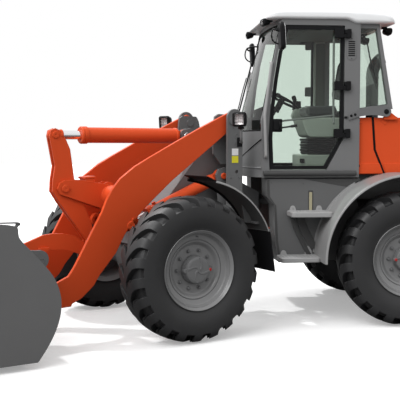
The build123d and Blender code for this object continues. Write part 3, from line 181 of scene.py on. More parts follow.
def finish(name, colour, rough=0.4, peel=0.04, grain=60.0, shift=0.05, metal=0.0, coat=0.0,
           edge=3.0, blotch=3.0, gloss=0.45, tint=(1.0, 1.0, 1.0)):
    """Painted, moulded or cast surface: tone shifts in large soft blotches, relief from fine grain."""
    material, tree = new_material(name)
    place = node(tree, "TexCoord").outputs["Object"]
    soft = node(tree, "TexNoise", Vector=place, Scale=blotch, Detail=4.0, Roughness=0.6)
    fine = node(tree, "TexNoise", Vector=place, Scale=grain * 10, Detail=3.0, Roughness=0.55)
    low = tuple(c * (1 - shift) for c in colour) + (1,)
    high = tuple(min(1, c * (1 + shift)) for c in colour) + (1,)
    tone = node(tree, "Mix", Factor=soft.outputs[0])
    tone.data_type = "RGBA"
    tone.inputs[6].default_value, tone.inputs[7].default_value = low, high
    sheen = node(tree, "MapRange", i0=fine.outputs[0], i1=0.3, i2=0.7, i3=rough * 0.9, i4=min(1, rough * 1.12))
    round_edge = node(tree, "Bevel", Radius=edge / 1000)
    round_edge.samples = 4
    relief = node(tree, "Bump", Strength=peel, Distance=0.002, Height=fine.outputs[0],
                  Normal=round_edge.outputs[0])
    skin = node(tree, "BsdfPrincipled", Base_Color=tone.outputs[2], Roughness=sheen.outputs[0],
                Metallic=metal, Normal=relief.outputs[0], Coat_Weight=coat, Coat_Roughness=0.12)
    skin.inputs["Specular IOR Level"].default_value = gloss
    skin.inputs["Specular Tint"].default_value = (*tint, 1)
    tree.links.new(skin.outputs[0], tree.nodes["out"].inputs[0])
    return material


orange = finish("orange_paint", (0.66, 0.078, 0.022), rough=0.38, shift=0.04, edge=8, gloss=0.30,
                tint=(1.0, 0.45, 0.25))
frame_grey = finish("frame_grey", (0.110, 0.111, 0.112), rough=0.5, shift=0.05)
post_grey = finish("post_grey", (0.135, 0.136, 0.138), rough=0.48, shift=0.05)
light_grey = finish("panel_grey", (0.21, 0.21, 0.21), rough=0.45, shift=0.04)
fender_grey = finish("fender_grey", (0.27, 0.27, 0.27), rough=0.35, shift=0.05, edge=6)
bucket_grey = finish("bucket_grey", (0.130, 0.130, 0.131), rough=0.55, peel=0.06, shift=0.07)
rim_grey = finish("rim_grey", (0.20, 0.20, 0.202), rough=0.30, coat=0.2)
hub_grey = finish("hub_grey", (0.135, 0.136, 0.138), rough=0.45)
cab_grey = finish("cab_grey", (0.155, 0.156, 0.158), rough=0.45)
roof_white = finish("roof_white", (0.86, 0.87, 0.88), rough=0.28, peel=0.015, shift=0.01, coat=0.25)
black_trim = finish("black_trim", (0.008, 0.008, 0.009), rough=0.5, peel=0.08, grain=90, gloss=0.14)
# dark grey of the liners and stays, also used for the painted shade under the fenders
liner_and_shade_grey = finish("liner_and_shade_grey", (0.060, 0.060, 0.060), rough=0.6, gloss=0.25)
# black rubber of the seals, also used for the painted shade of the groove under the windscreen
black_rubber_and_shade = finish("black_rubber_and_shade", (0.006, 0.006, 0.006), rough=0.7, peel=0.05, gloss=0.08)
black_gloss = finish("black_gloss", (0.010, 0.010, 0.011), rough=0.16, peel=0.01, gloss=0.5)
step_grey = finish("step_grey", (0.33, 0.33, 0.33), rough=0.4, peel=0.06)
amber = finish("amber_lens", (0.75, 0.22, 0.01), rough=0.2, peel=0.02)
sight_beige = finish("sight_glass", (0.36, 0.33, 0.22), rough=0.2, peel=0.02)
tyre_rubber = finish("tyre_rubber", (0.024, 0.024, 0.025), rough=0.5, peel=0.20, grain=30, shift=0.18,
                     blotch=6, edge=7)
trim_grey = finish("cabin_trim", (0.40, 0.42, 0.385), rough=0.6, peel=0.12, grain=80)
trim_dark = finish("cabin_dark", (0.105, 0.11, 0.095), rough=0.6, peel=0.12, grain=80)
lamp_inside = finish("lamp_inside", (0.80, 0.74, 0.74), rough=0.2, metal=0.35, peel=0.3, grain=12, gloss=0.5)
casting = finish("casting", (0.085, 0.086, 0.088), rough=0.65, peel=0.3, grain=25)
steel = finish("bright_steel", (0.72, 0.72, 0.74), rough=0.25, metal=1.0, peel=0.02, grain=120)
chrome = finish("chrome_rod", (0.90, 0.90, 0.91), rough=0.08, metal=1.0, peel=0.0, shift=0.01)
red_plug = finish("red_plug", (0.45, 0.02, 0.02), rough=0.4)
plate_white = finish("plate_white", (0.80, 0.80, 0.80), rough=0.4, shift=0.02)
plate_yellow = finish("plate_yellow", (0.72, 0.66, 0.02), rough=0.4, shift=0.02)
print(len(bpy.data.materials), "finishes")

# %% Glass
def pane(name, tint):
    """Thin tinted pane: lets the light through with its tint and mirrors a little at grazing angles."""
    material, tree = new_material(name)
    clear = node(tree, "BsdfTransparent", Color=(*tint, 1))
    sheen = node(tree, "BsdfGlossy", Color=(1, 1, 1, 1), Roughness=0.0)
    angle = node(tree, "Fresnel", IOR=1.45)
    # seen from inside the pane, Fresnel would mirror everything: only outer faces mirror
    outside = node(tree, "Math", i0=1.0, i1=node(tree, "NewGeometry").outputs["Backfacing"])
    outside.operation = "SUBTRACT"
    share = node(tree, "Math", i0=angle.outputs[0], i1=outside.outputs[0])
    share.operation = "MULTIPLY"
    mixed = node(tree, "MixShader", i0=share.outputs[0], i1=clear.outputs[0], i2=sheen.outputs[0])
    tree.links.new(mixed.outputs[0], tree.nodes["out"].inputs[0])
    return material


glass_green = pane("cab_glass_green", (0.87, 0.91, 0.88))
lens_glass = pane("lens_glass", (0.92, 0.92, 0.92))

# %% Give each CAD node its finish
WORN = {
    orange: ("hood", "engine_bay_front", "boom", "bell_crank", "tilt_link", "lift_barrel_left",
             "lift_barrel_right", "tilt_barrel", "steer_barrel_left", "steer_barrel_right"),
    post_grey: ("front_frame", "hood_hinge_arms"),
    frame_grey: ("rear_frame", "side_tank_left", "side_tank_right", "front_axle", "rear_axle"),
    fender_grey: ("rear_fenders", "front_fenders"),
    bucket_grey: ("bucket",),
    cab_grey: ("cab_frame",),
    roof_white: ("cab_roof",),
    casting: ("engine", "counterweight"),
    chrome: ("lift_rod_left", "lift_rod_right", "tilt_rod", "steer_rod_left", "steer_rod_right"),
    black_trim: ("door_left", "door_hinge_pins", "exit_window_right", "mirrors", "stand_lamps",
                 "roof_lamps", "mud_flaps"),
    liner_and_shade_grey: ("cab_sills",),
    black_gloss: ("exhaust_stack",),
    step_grey: ("cab_handrails", "access_steps"),
    trim_grey: ("seat_base", "side_console"),
    trim_dark: ("seat_cushions",),
    black_rubber_and_shade: ("steering_column",),
    glass_green: ("cab_glass", "door_glass_left", "exit_glass_right"),
    rim_grey: ("rim_front_left", "rim_front_right", "rim_rear_left", "rim_rear_right"),
    tyre_rubber: ("tyre_front_left", "tyre_front_right", "tyre_rear_left", "tyre_rear_right"),
}
for material, members in WORN.items():
    for member in members:
        nodes[member].data.materials.clear()
        nodes[member].data.materials.append(material)
print("finishes on", sum(len(m) for m in WORN.values()), "nodes")

# %% [markdown]
# ## Small workshop
# The real machine is made of sheet cut to an outline, turned rings, bent tube and bolts. Each of
# these has one small helper, which starts from a few points and lets Blender's own operators do
# the rest: extrude for plate, spin for anything turned, a curve with a round section for tube.

# %% Plate cut to an outline
AXIS = {"x": Vector((1, 0, 0)), "y": Vector((0, 1, 0)), "z": Vector((0, 0, 1))}


def spot(axis, u, v, depth):
    """A point of a drawing that lies across the axis: (y, z), (x, z) or (x, y), at a depth."""
    return {"x": (depth, u, v), "y": (u, depth, v), "z": (u, v, depth)}[axis]


def soften(bm, faces, radius, segments=2, sharp=25):
    """Rounds the hard edges between these faces."""
    edges = {e for f in faces if f.is_valid for e in f.edges}
    edges = [e for e in edges if len(e.link_faces) == 2 and e.calc_face_angle(0) > radians(sharp)]
    bmesh.ops.bevel(bm, geom=edges, offset=radius, offset_type="OFFSET", segments=segments, profile=0.5,
                    affect="EDGES", clamp_overlap=True, material=-1)


def plate(bm, points, axis, start, stop, radius=0.0, segments=2):
    """Flat outline across an axis, drawn out from start to stop, its edges rounded by radius."""
    before = set(bm.faces)
    face = bm.faces.new([bm.verts.new(spot(axis, u, v, start)) for u, v in points])
    grown = bmesh.ops.extrude_face_region(bm, geom=[face])["geom"]
    moved = [g for g in grown if isinstance(g, bmesh.types.BMVert)]
    bmesh.ops.translate(bm, verts=moved, vec=AXIS[axis] * (stop - start))
    made = [f for f in bm.faces if f not in before]
    bmesh.ops.recalc_face_normals(bm, faces=made)
    if radius:
        soften(bm, made, radius, segments)


def block(bm, centre, size, radius=4.0, segments=2, turn=None):
    """Box of a size about a centre, with rounded edges, and turned if an Euler is given."""
    before = set(bm.faces)
    place = Matrix.Translation(centre)
    if turn:
        place = place @ turn.to_matrix().to_4x4()
    cube = bmesh.ops.create_cube(bm, size=1.0)["verts"]
    bmesh.ops.scale(bm, vec=size, verts=cube)
    bmesh.ops.transform(bm, matrix=place, verts=cube)
    if radius:
        soften(bm, [f for f in bm.faces if f not in before], radius, segments)

# %% Turned pieces, bolts and bent tube
def turned(bm, profile, centre, axis, steps=48, closed=False):
    """Spins a profile of (radius, distance along the axis) round an axis through the centre."""
    axis = Vector(axis).normalized()
    out = axis.orthogonal().normalized()
    centre = Vector(centre)
    verts = [bm.verts.new(centre + out * r + axis * h) for r, h in profile]
    edges = [bm.edges.new(pair) for pair in zip(verts, verts[1:])]
    if closed:
        edges.append(bm.edges.new((verts[-1], verts[0])))
    before = set(bm.verts) - set(verts)
    bmesh.ops.spin(bm, geom=verts + edges, cent=centre, axis=axis, angle=2 * pi, steps=steps,
                   use_merge=True)
    bmesh.ops.remove_doubles(bm, verts=[v for v in bm.verts if v not in before], dist=0.01)


def bolt(bm, centre, axis, size=14.0, height=9.0, washer=True):
    """Hexagon head on a washer."""
    turn = Vector(axis).normalized().to_track_quat("Z", "Y").to_matrix().to_4x4()
    if washer:
        turned(bm, ((0, 3), (size * 0.85, 3), (size * 0.9, 0)), centre, axis, steps=16)
    place = Matrix.Translation(Vector(centre) + Vector(axis).normalized() * (3 + height / 2)) @ turn
    bmesh.ops.create_cone(bm, cap_ends=True, segments=6, radius1=size * 0.62, radius2=size * 0.56,
                          depth=height, matrix=place)


def curve_mesh(points, radius=0.0, sides=0, resolution=6):
    """Smooth curve through a few points as a mesh: a bare line, or a round bar if it has a radius."""
    curve = bpy.data.curves.new("bend", "CURVE")
    curve.dimensions = "3D"
    curve.bevel_depth, curve.bevel_resolution, curve.resolution_u = radius, sides, resolution
    curve.use_fill_caps = True
    line = curve.splines.new("NURBS")
    line.points.add(len(points) - 1)
    for point, place in zip(line.points, points):
        point.co = (*place, 1)
    line.order_u = 3
    line.use_endpoint_u = True
    holder = bpy.data.objects.new("bend", curve)
    mesh = bpy.data.meshes.new_from_object(holder)
    bpy.data.objects.remove(holder)
    bpy.data.curves.remove(curve)
    return mesh


def tube(bm, points, radius, sides=3):
    """Round bar or pipe along a smooth line through a few points."""
    mesh = curve_mesh(points, radius, sides)
    bm.from_mesh(mesh)
    bpy.data.meshes.remove(mesh)


def smooth_line(points):
    """Points (u, v) along a smooth line through the corners of a flat drawing."""
    mesh = curve_mesh([(u, v, 0) for u, v in points], resolution=5)
    found = [(vert.co.x, vert.co.y) for vert in mesh.vertices]
    bpy.data.meshes.remove(mesh)
    return found

# %% Finish a piece and put it on its body
pieces = []
SIDES = (("left", 1), ("right", -1))


def half_of(body):
    """Where a body's pieces are drawn: the rear half, or the front half, which is steered."""
    return REAR if body in ("rear_frame", "door", "hood") else FRONT


def both_sides(bm):
    """What is drawn so far on the machine's left comes once more, mirrored, on its right."""
    again = bmesh.ops.duplicate(bm, geom=[*bm.verts, *bm.edges, *bm.faces])["geom"]
    bmesh.ops.scale(bm, vec=(1, -1, 1), verts=[g for g in again if isinstance(g, bmesh.types.BMVert)])


def finished(name, bm, material, body="rear_frame", half=None, sharp=35, crease=True):
    """Writes the bmesh into an object in metres, smooths it up to a crease and hangs it on a body."""
    bmesh.ops.remove_doubles(bm, verts=bm.verts, dist=0.02)
    bmesh.ops.recalc_face_normals(bm, faces=bm.faces)
    bmesh.ops.transform(bm, matrix=half_of(body) if half is None else half, verts=bm.verts)
    for face in bm.faces:
        face.smooth = True
    if crease:
        for edge in bm.edges:
            edge.smooth = len(edge.link_faces) == 2 and edge.calc_face_angle(0) < radians(sharp)
    mesh = bpy.data.meshes.new(name)
    bm.to_mesh(mesh)
    bm.free()
    made = bpy.data.objects.new(name, mesh)
    scene.collection.objects.link(made)
    mesh.materials.append(material)
    if crease:
        # big flat faces keep their own direction, so the rounded edges don't shade them
        flat = made.modifiers.new("flat_faces", "WEIGHTED_NORMAL")
        flat.keep_sharp = True
    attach(made, body)
    pieces.append(made)
    print(f"{name}: {len(mesh.polygons)} faces, rides {body}")
    return made


print("workshop ready")

# %% [markdown]
# ## Tyres
# A loader tyre has a smooth side and a tread of broad blocks, parted by grooves that start near
# the middle, run outwards and end in a scoop in the shoulder. Each groove could be cut out with a
# Boolean, but it is quicker to spin the whole outline first, mark the faces that will be grooves
# and push them in. The ring is then twisted, more towards the edges, which slants the grooves into
# arrows. Left and right grooves are half a pitch apart.

# %% Tyre outline
TYRE_R = 638.5
WHEELBASE, TRACK = 2640.0, 1840.0
PITCHES, COLUMNS = 22, 12
GROOVE = 48.0              # how deep the grooves are pushed in
SCOOP, FADE = 548.0, 26.0  # radius at which a groove ends in the shoulder, and over how much it dies away
TYRE_HALF = ((638.5, 0), (638.4, 13), (637.5, 45), (635, 80), (631, 112), (624, 138), (614, 158), (602, 173),
             (588, 184), (572, 190.5), (556, 194), (530, 196.5), (500, 197), (465, 196), (430, 190),
             (398, 180), (375, 170), (362, 165), (356, 166), (350, 160), (336, 153), (322, 150))
tyre_outline = [(r, -y) for r, y in reversed(TYRE_HALF)] + [(r, y) for r, y in TYRE_HALF[1:]]


def trail(width):
    """How far a groove lies behind the middle of the tread, along the tread, at this distance out."""
    part = min(1.0, width / 184)
    return 165 * (1 - (1 - part) ** 2.0)


def tread_tyre():
    """Spun outline with its grooves pushed in, twisted so that they trail towards the shoulders."""
    bm = bmesh.new()
    turned(bm, tyre_outline, (0, 0, 0), (0, 1, 0), steps=PITCHES * COLUMNS, closed=True)
    grooves = []
    for face in bm.faces:
        middle = face.calc_center_median()
        radius, width = Vector((middle.x, middle.z)).length, abs(middle.y)
        column = (atan2(middle.x, middle.z) / (2 * pi) * PITCHES) % 1.0
        # a groove takes four of the twelve columns, and six in the outer part of the tread
        if column < (6 if width > 75 else 4) / COLUMNS and 14 < width < 196 and radius > SCOOP:
            grooves.append(face)
    grown = bmesh.ops.extrude_face_region(bm, geom=grooves)["geom"]
    bmesh.ops.delete(bm, geom=grooves, context="FACES")
    for vert in (g for g in grown if isinstance(g, bmesh.types.BMVert)):
        radius, width = Vector((vert.co.x, vert.co.z)).length, abs(vert.co.y)
        radial = Vector((vert.co.x, 0, vert.co.z)).normalized()
        inward = radial * (radius - 540) + Vector((0, copysign(max(width - 105, 0), vert.co.y), 0))
        fade = min(1.0, max(0.12, (radius - SCOOP - 2) / FADE))
        vert.co -= inward.normalized() * GROOVE * fade
    half_pitch = pi / PITCHES
    for vert in bm.verts:
        width = abs(vert.co.y)
        angle = -trail(width) / TYRE_R + half_pitch * min(1.0, max(0.0, (13 - vert.co.y) / 26))
        vert.co = Matrix.Rotation(angle, 3, "Y") @ vert.co
    return bm

# %% Wheels of the machine
WHEELS = {"front_left": (WHEELBASE / 2, TRACK / 2, 0, FRONT), "front_right": (WHEELBASE / 2, -TRACK / 2, pi, FRONT),
          "rear_left": (-WHEELBASE / 2, TRACK / 2, 0, REAR), "rear_right": (-WHEELBASE / 2, -TRACK / 2, pi, REAR)}


def at_wheel(wheel):
    """Moves what is drawn about a wheel's middle, outside to +Y, to that wheel."""
    x, y, turn, half = WHEELS[wheel]
    return half @ Matrix.Translation((x, y, TYRE_R)) @ Matrix.Rotation(turn, 4, "Z")


for wheel, (x, y, turn, half) in WHEELS.items():
    # the arrows point the same way on both sides, so the tyre itself isn't turned round
    tyre = finished(f"tyre_tread_{wheel}", tread_tyre(), tyre_rubber, f"wheel_{wheel}",
                    half @ Matrix.Translation((x, y, TYRE_R)), sharp=24)
    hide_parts(f"tyre_{wheel}")

# %% [markdown]
# ## Rims and hubs
# The rim is rolled steel: a rounded lip, a stepped cone, a dark joint where its loose ring sits,
# and a flat disc bolted to the hub with ten nuts. The planetary cap in the middle carries four
# curved ribs, two bosses and a red plug. Everything round is one spun outline.

# %% Rim
RIM = ((124, 58), (208, 58), (217, 61), (225, 70), (238, 88), (247, 94), (256, 95), (258.5, 88), (261.5, 88),
       (264, 96), (284, 103), (300, 106), (308, 112), (314, 126), (320, 146), (328, 158), (338, 164),
       (343, 173), (347, 176), (350, 173), (349, 163), (338, 152), (322, 149), (321, 140), (321, -140),
       (322, -149), (338, -152), (349, -163), (350, -173), (347, -176), (338, -168), (306, -150),
       (304, -60), (300, 80), (262, 78), (246, 44), (208, 40), (124, 40))
HUB_CAP = ((0, 150), (92, 150), (106, 148), (116, 143), (121, 134), (122, 96), (126, 90), (126, 58), (0, 58))


def spiral_rib(bm, start):
    """Curved rib from the middle of the hub cap to its edge, 3 mm proud."""
    stations = []
    for k in range(9):
        out = 14 + 96 * k / 8
        angle = start + 0.95 * sin(pi * 0.5 * k / 8) + 0.15 * k / 8
        direction = Vector((sin(angle), 0, cos(angle)))
        across = Vector((direction.z, 0, -direction.x))
        stations.append((direction * out, across))
    section = [bm.verts.new(stations[0][0] + stations[0][1] * s + Vector((0, h, 0)))
               for s, h in ((-11, 149), (-8, 153.5), (8, 153.5), (11, 149))]
    face = bm.faces.new(section)
    for (middle, across), (last, last_across) in zip(stations[1:], stations):
        grown = bmesh.ops.extrude_discrete_faces(bm, faces=[face])
        face = grown["faces"][0]
        for vert in face.verts:
            side = (vert.co - last).dot(last_across)
            height = vert.co.y
            vert.co = middle + across * side
            vert.co.y = height


def hub():
    """Planetary cap with its ribs, the square in the middle and the two bosses."""
    bm = bmesh.new()
    turned(bm, HUB_CAP, (0, 0, 0), (0, 1, 0), steps=72)
    for quarter in range(4):
        spiral_rib(bm, 0.35 + quarter * pi / 2)
    block(bm, (0, 150, 0), (30, 6, 30), 1.5)
    for side in (-1, 1):
        turned(bm, ((0, 141), (17, 141), (20, 138), (21, 96), (0, 96)), (side * 121, 0, 0), (0, 1, 0), steps=24)
        block(bm, (side * 100, 128, 0), (50, 26, 34), 5)
    return bm


def nuts(bm):
    """Ten wheel nuts with their flanges on a circle."""
    for k in range(10):
        angle = radians(18 + 36 * k)
        centre = (171 * sin(angle), 56, 171 * cos(angle))
        turned(bm, ((0, 27), (9, 27), (12, 24), (12, 7), (19, 6), (20, 2)), centre, (0, 1, 0), steps=14)


for wheel in WHEELS:
    place, body = at_wheel(wheel), f"wheel_{wheel}"
    bm = bmesh.new()
    turned(bm, RIM, (0, 0, 0), (0, 1, 0), steps=96, closed=True)
    rim = finished(f"rim_steel_{wheel}", bm, rim_grey, body, place, sharp=30)
    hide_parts(f"rim_{wheel}")
    plug_side = 1 if wheel in ("rear_left", "front_right") else -1
    finished(f"hub_cap_{wheel}", hub(), hub_grey, body, place, sharp=30)
    bm = bmesh.new()
    nuts(bm)
    # valve stem in the outer cone
    tube(bm, ((0, 110, 292), (0, 128, 292), (0, 140, 284)), 4)
    finished(f"wheel_nuts_{wheel}", bm, hub_grey, body, place)
    bm = bmesh.new()
    turned(bm, ((5, 146), (5, 150), (11, 150), (13, 148), (13, 138), (5, 138)), (plug_side * 121, 0, 0),
           (0, 1, 0), steps=24, closed=True)
    finished(f"hub_plug_{wheel}", bm, red_plug, body, place)

# %% [markdown]
# ## Bucket
# A bucket is one rolled sheet between two flat end plates, with a thick cutting edge along the
# lip. The sheet could be a Bezier loft; here its line is a smooth curve through the bends, which
# is thickened to a closed outline and drawn out across the whole width.

# %% Helpers for sheet
def thickened(line, thick):
    """Closed outline of a sheet: the line there, and back again at its thickness to the right."""
    back = []
    for k, (u, v) in enumerate(line):
        before, after = line[max(k - 1, 0)], line[min(k + 1, len(line) - 1)]
        run = Vector((after[0] - before[0], after[1] - before[1])).normalized()
        back.append((u + run.y * thick, v - run.x * thick))
    return list(line) + back[::-1]


def slab(bm, centre, size, corner, edge=1.5, axis="y", turn=None):
    """Flat box across an axis with round corners in its outline and slightly eased edges."""
    before = set(bm.faces)
    cube = bmesh.ops.create_cube(bm, size=1.0)["verts"]
    bmesh.ops.scale(bm, vec=size, verts=cube)
    k = "xyz".index(axis)
    posts = [e for e in bm.edges if e.verts[0] in cube and e.verts[1] in cube
             and abs(e.verts[0].co[k] - e.verts[1].co[k]) > 1e-6
             and all(abs(e.verts[0].co[j] - e.verts[1].co[j]) < 1e-6 for j in range(3) if j != k)]
    bmesh.ops.bevel(bm, geom=posts, offset=corner, offset_type="OFFSET", segments=5, profile=0.5, affect="EDGES",
                    clamp_overlap=True, material=-1)
    if edge:
        soften(bm, [f for f in bm.faces if f not in before], edge, 1)
    place = Matrix.Translation(centre) @ (turn.to_matrix().to_4x4() if turn else Matrix())
    bmesh.ops.transform(bm, matrix=place, verts=list({v for f in bm.faces if f not in before for v in f.verts}))


def swept(bm, profile, x, start, stop, steps=28):
    """Section of (radius, y) swept round a wheel's axis at x, between angles from forward, degrees."""
    verts = [bm.verts.new((x + r * cos(radians(start)), y, TYRE_R + r * sin(radians(start)))) for r, y in profile]
    face = bm.faces.new(verts)
    bmesh.ops.spin(bm, geom=[face], cent=(x, 0, TYRE_R), axis=(0, -1, 0), angle=radians(stop - start),
                   steps=steps, use_merge=False)

# %% Bucket shell, cutting edge and end plates
BUCKET_HALF, END_PLATE, LIP_X, FLOOR_Z = 1150.0, 13.0, 3560.0, 56.0
BACK = ((2813, 56), (2740, 150), (2674, 263), (2636, 360), (2619, 440), (2617, 520), (2632, 602), (2672, 704),
        (2760, 815), (2869, 931), (2944, 1012), (2957, 1050), (2957, 1084))
back_line = smooth_line(BACK)
bm = bmesh.new()
sheet = [(x + 30, z) for x, z in back_line]
inside = BUCKET_HALF - END_PLATE
plate(bm, thickened(sheet, 14), "y", inside, -inside, 2)
plate(bm, ((2835, 56), (LIP_X - 190, 56), (LIP_X - 190, 70), (2829, 70)), "y", inside, -inside, 2)
plate(bm, ((LIP_X - 200, 56), (LIP_X - 4, 56), (LIP_X, 58), (LIP_X - 24, 78), (LIP_X - 200, 78)), "y",
      BUCKET_HALF, -BUCKET_HALF, 2)
# stiffening channel along the inside of the top edge
plate(bm, ((2987, 1084), (2990, 1040), (3030, 1030), (3034, 1036), (3001, 1048), (2998, 1086)), "y",
      inside, -inside, 2)
shell = finished("bucket_shell", bm, bucket_grey, "bucket", sharp=25)
bm = bmesh.new()
side = [(LIP_X, FLOOR_Z)] + back_line + [(2957, 1090), (2966, 1112), (3040, 1128), (3096, 1134), (3110, 1128),
                                          (3340, 520), (LIP_X, 96)]
plate(bm, side, "y", BUCKET_HALF, 1136, 1.5)
# rolled end and the strip that runs forward from it along the top
turned(bm, ((0, 0), (13, 0), (13, 40), (0, 40)), (2953, 1110, 1130), (0, 1, 0), steps=24)
plate(bm, ((2944, 1128), (2946, 1140), (2960, 1144), (3096, 1147), (3096, 1138), (2962, 1134), (2972, 1112),
           (2962, 1106)), "y", BUCKET_HALF, 1110, 1)
both_sides(bm)
finished("bucket_end_plates", bm, bucket_grey, "bucket")

# %% Lugs
LUG = 25.0                # thickness of each lug
hook = [(2592 + 81 * cos(radians(a)), 770 + 81 * sin(radians(a))) for a in range(80, 262, 13)]
hook += [(2668, 610), (2706, 700), (2822, 866)]
arm_lug = ((2418, 400), (2440, 358), (2480, 348), (2692, 300), (2682, 345), (2664, 421), (2656, 520),
           (2560, 500), (2500, 490), (2440, 478), (2412, 440))
link_lug = ((2503, 750), (2520, 790), (2570, 806), (2816, 852), (2706, 700), (2669, 610), (2600, 630), (2520, 690))
bm = bmesh.new()
for outline, y in ((hook, 625), (arm_lug, 449), (arm_lug, 374), (link_lug, 47)):
    plate(bm, outline, "y", y, y - LUG, 3)
turned(bm, ((17, 0), (24, 0), (24, 28), (17, 28)), (2571, 598.5, 761), (0, 1, 0), steps=28, closed=True)
block(bm, (2672, 399, 330), (46, 120, 12), 3)
both_sides(bm)
plate(bm, ((2650, 560), (2664, 556), (2820, 812), (2810, 826)), "y", 430, -430, 4)
finished("bucket_lugs", bm, bucket_grey, "bucket")
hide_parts("bucket")

# %% [markdown]
# ## Front fenders
# The fender is rolled sheet with a thick rubber lip along the inner edge, a bright rolled edge
# outside and a round bar along its lower end, where the mud flap hangs. A dark sheet just under
# it paints the shade on its underside.

# %% Front fenders
FENDER_R, FENDER_IN, FENDER_OUT, FENDER_END = 790.0, 720.0, 1117.0, 157.0
HALF_BASE = WHEELBASE / 2
for name, material, section, start in (
        ("front_fender_sheet", fender_grey, ((789, 726), (789, 1100), (786, 1111), (779, 1116), (770, 1117),
                                             (770, 1113), (776, 1111), (781, 1106), (785, 1098), (785, 726)), 101),
        # dark sheet just under the fender: painted shade on its underside
        ("front_fender_shade_sheet", liner_and_shade_grey, ((784, 740), (784, 1097), (781, 1103), (778, 1103), (778, 740)), 101),
        ("front_fender_lip", black_rubber_and_shade, ((788, 720), (788, 742), (780, 742), (764, 736), (760, 728), (766, 720)),
         97)):
    bm = bmesh.new()
    swept(bm, section, HALF_BASE, start, FENDER_END, 30)
    both_sides(bm)
    sheet = finished(name, bm, material, "front_frame", sharp=50)
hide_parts("front_fenders")
bm = bmesh.new()
end = (HALF_BASE + FENDER_R * cos(radians(FENDER_END)), TYRE_R + FENDER_R * sin(radians(FENDER_END)))
turned(bm, ((0, 0), (10, 0), (12, 3), (12, 391), (10, 394), (0, 394)), (end[0] + 2, FENDER_IN + 2, end[1] + 3),
       (0, 1, 0), steps=20)
both_sides(bm)
finished("front_fender_bar", bm, frame_grey, "front_frame")
bm = bmesh.new()
plate(bm, ((HALF_BASE - 152, 1403), (HALF_BASE - 152, 1412), (HALF_BASE - 66, 1452), (HALF_BASE - 58, 1454),
           (HALF_BASE - 58, 1446), (HALF_BASE - 64, 1443)), "y", FENDER_OUT, FENDER_IN, 1.5)
both_sides(bm)
finished("front_fender_tip", bm, black_trim, "front_frame")
bm = bmesh.new()
block(bm, (HALF_BASE - 695, 735.5, 1012), (70, 529, 24), 4)
for y in (560, 660, 760, 900):
    bolt(bm, (HALF_BASE - 695, y, 1024), (0, 0, 1), 12, 9)
plate(bm, ((HALF_BASE - 740, 1000), (HALF_BASE - 600, 1010), (HALF_BASE - 560, 1190), (HALF_BASE - 600, 1230)), "y",
      905, 893, 3)
both_sides(bm)
finished("front_fender_brackets", bm, frame_grey, "front_frame")

# %% [markdown]
# ## Front frame, lamps and linkage
# The pivots of the loader are plain pins: a round head outside each plate with a hole in its middle,
# and on some a small keeper with one bolt. The cylinders are bought parts: a painted barrel with a
# ring at each end, and a hard-chromed rod that ends in a painted eye. Rod and eye are made as two
# pieces so that each gets its own finish.

# %% Sizes of the linkage
ARM_OUT = 419.0           # outer face of each arm
STAND_FACE = 470.0        # outer face of each boom stand
BOOM_PIN, BUCKET_PIN, CRANK_PIN = (569.0, 1945.0), (2480.0, 420.0), (2130.0, 1323.0)
LIFT_BASE, LIFT_EYE, TILT_BASE, TILT_EYE = (625.0, 1418.0), (1640.0, 990.0), (835.0, 1806.0), (2205.0, 1810.0)
LINK_REAR, LINK_FRONT = (1870.0, 690.0), (2565.0, 740.0)


def pin_head(bm, at, y, radius, proud, keeper=None):
    """Head of a pin on the face at y, with its chamfer, centre hole and keeper plate."""
    turned(bm, ((0, proud - 4), (6, proud - 4), (8, proud), (radius - 4, proud), (radius, proud - 4), (radius, -3)),
           (at[0], y, at[1]), (0, 1, 0), steps=40)
    if keeper is not None:
        u, v = cos(radians(keeper)), sin(radians(keeper))
        x, z = at[0] + u * (radius + 12), at[1] + v * (radius + 12)
        block(bm, (x, y + 4, z), (46, 8, 22), 3, turn=Euler((0, -radians(keeper), 0)))
        bolt(bm, (x + u * 8, y + 8, z + v * 8), (0, 1, 0), 9, 6)

# %% Pins
for name, body, material, heads in (
        ("stand_pins", "front_frame", orange, ((BOOM_PIN, STAND_FACE, 29, 12), (LIFT_BASE, 402, 31, 12))),
        ("bucket_pins", "bucket", bucket_grey, ((BUCKET_PIN, 461, 36, 8, 200),)),
        ("arm_pins", "boom", orange, ((LIFT_EYE, ARM_OUT, 38, 7, 110),)),
        ("crank_pin_heads", "boom", orange, ((CRANK_PIN, 87, 36, 6),)),
        ("crank_pins", "bell_crank", orange, ((TILT_EYE, 45, 33, 10), (LINK_REAR, 55, 31, 4))),
        ("link_pin", "bucket", bucket_grey, ((LINK_FRONT, 47, 32, 8, 90),)),
        ("tilt_base_pin", "front_frame", steel, ((TILT_BASE, 57, 32, 10),))):
    bm = bmesh.new()
    for head in heads:
        pin_head(bm, *head)
    if name == "crank_pin_heads":
        bolt(bm, (2081, 77, 1313), (0, 1, 0), 8, 4, washer=False)
    both_sides(bm)
    finished(name, bm, material, body)

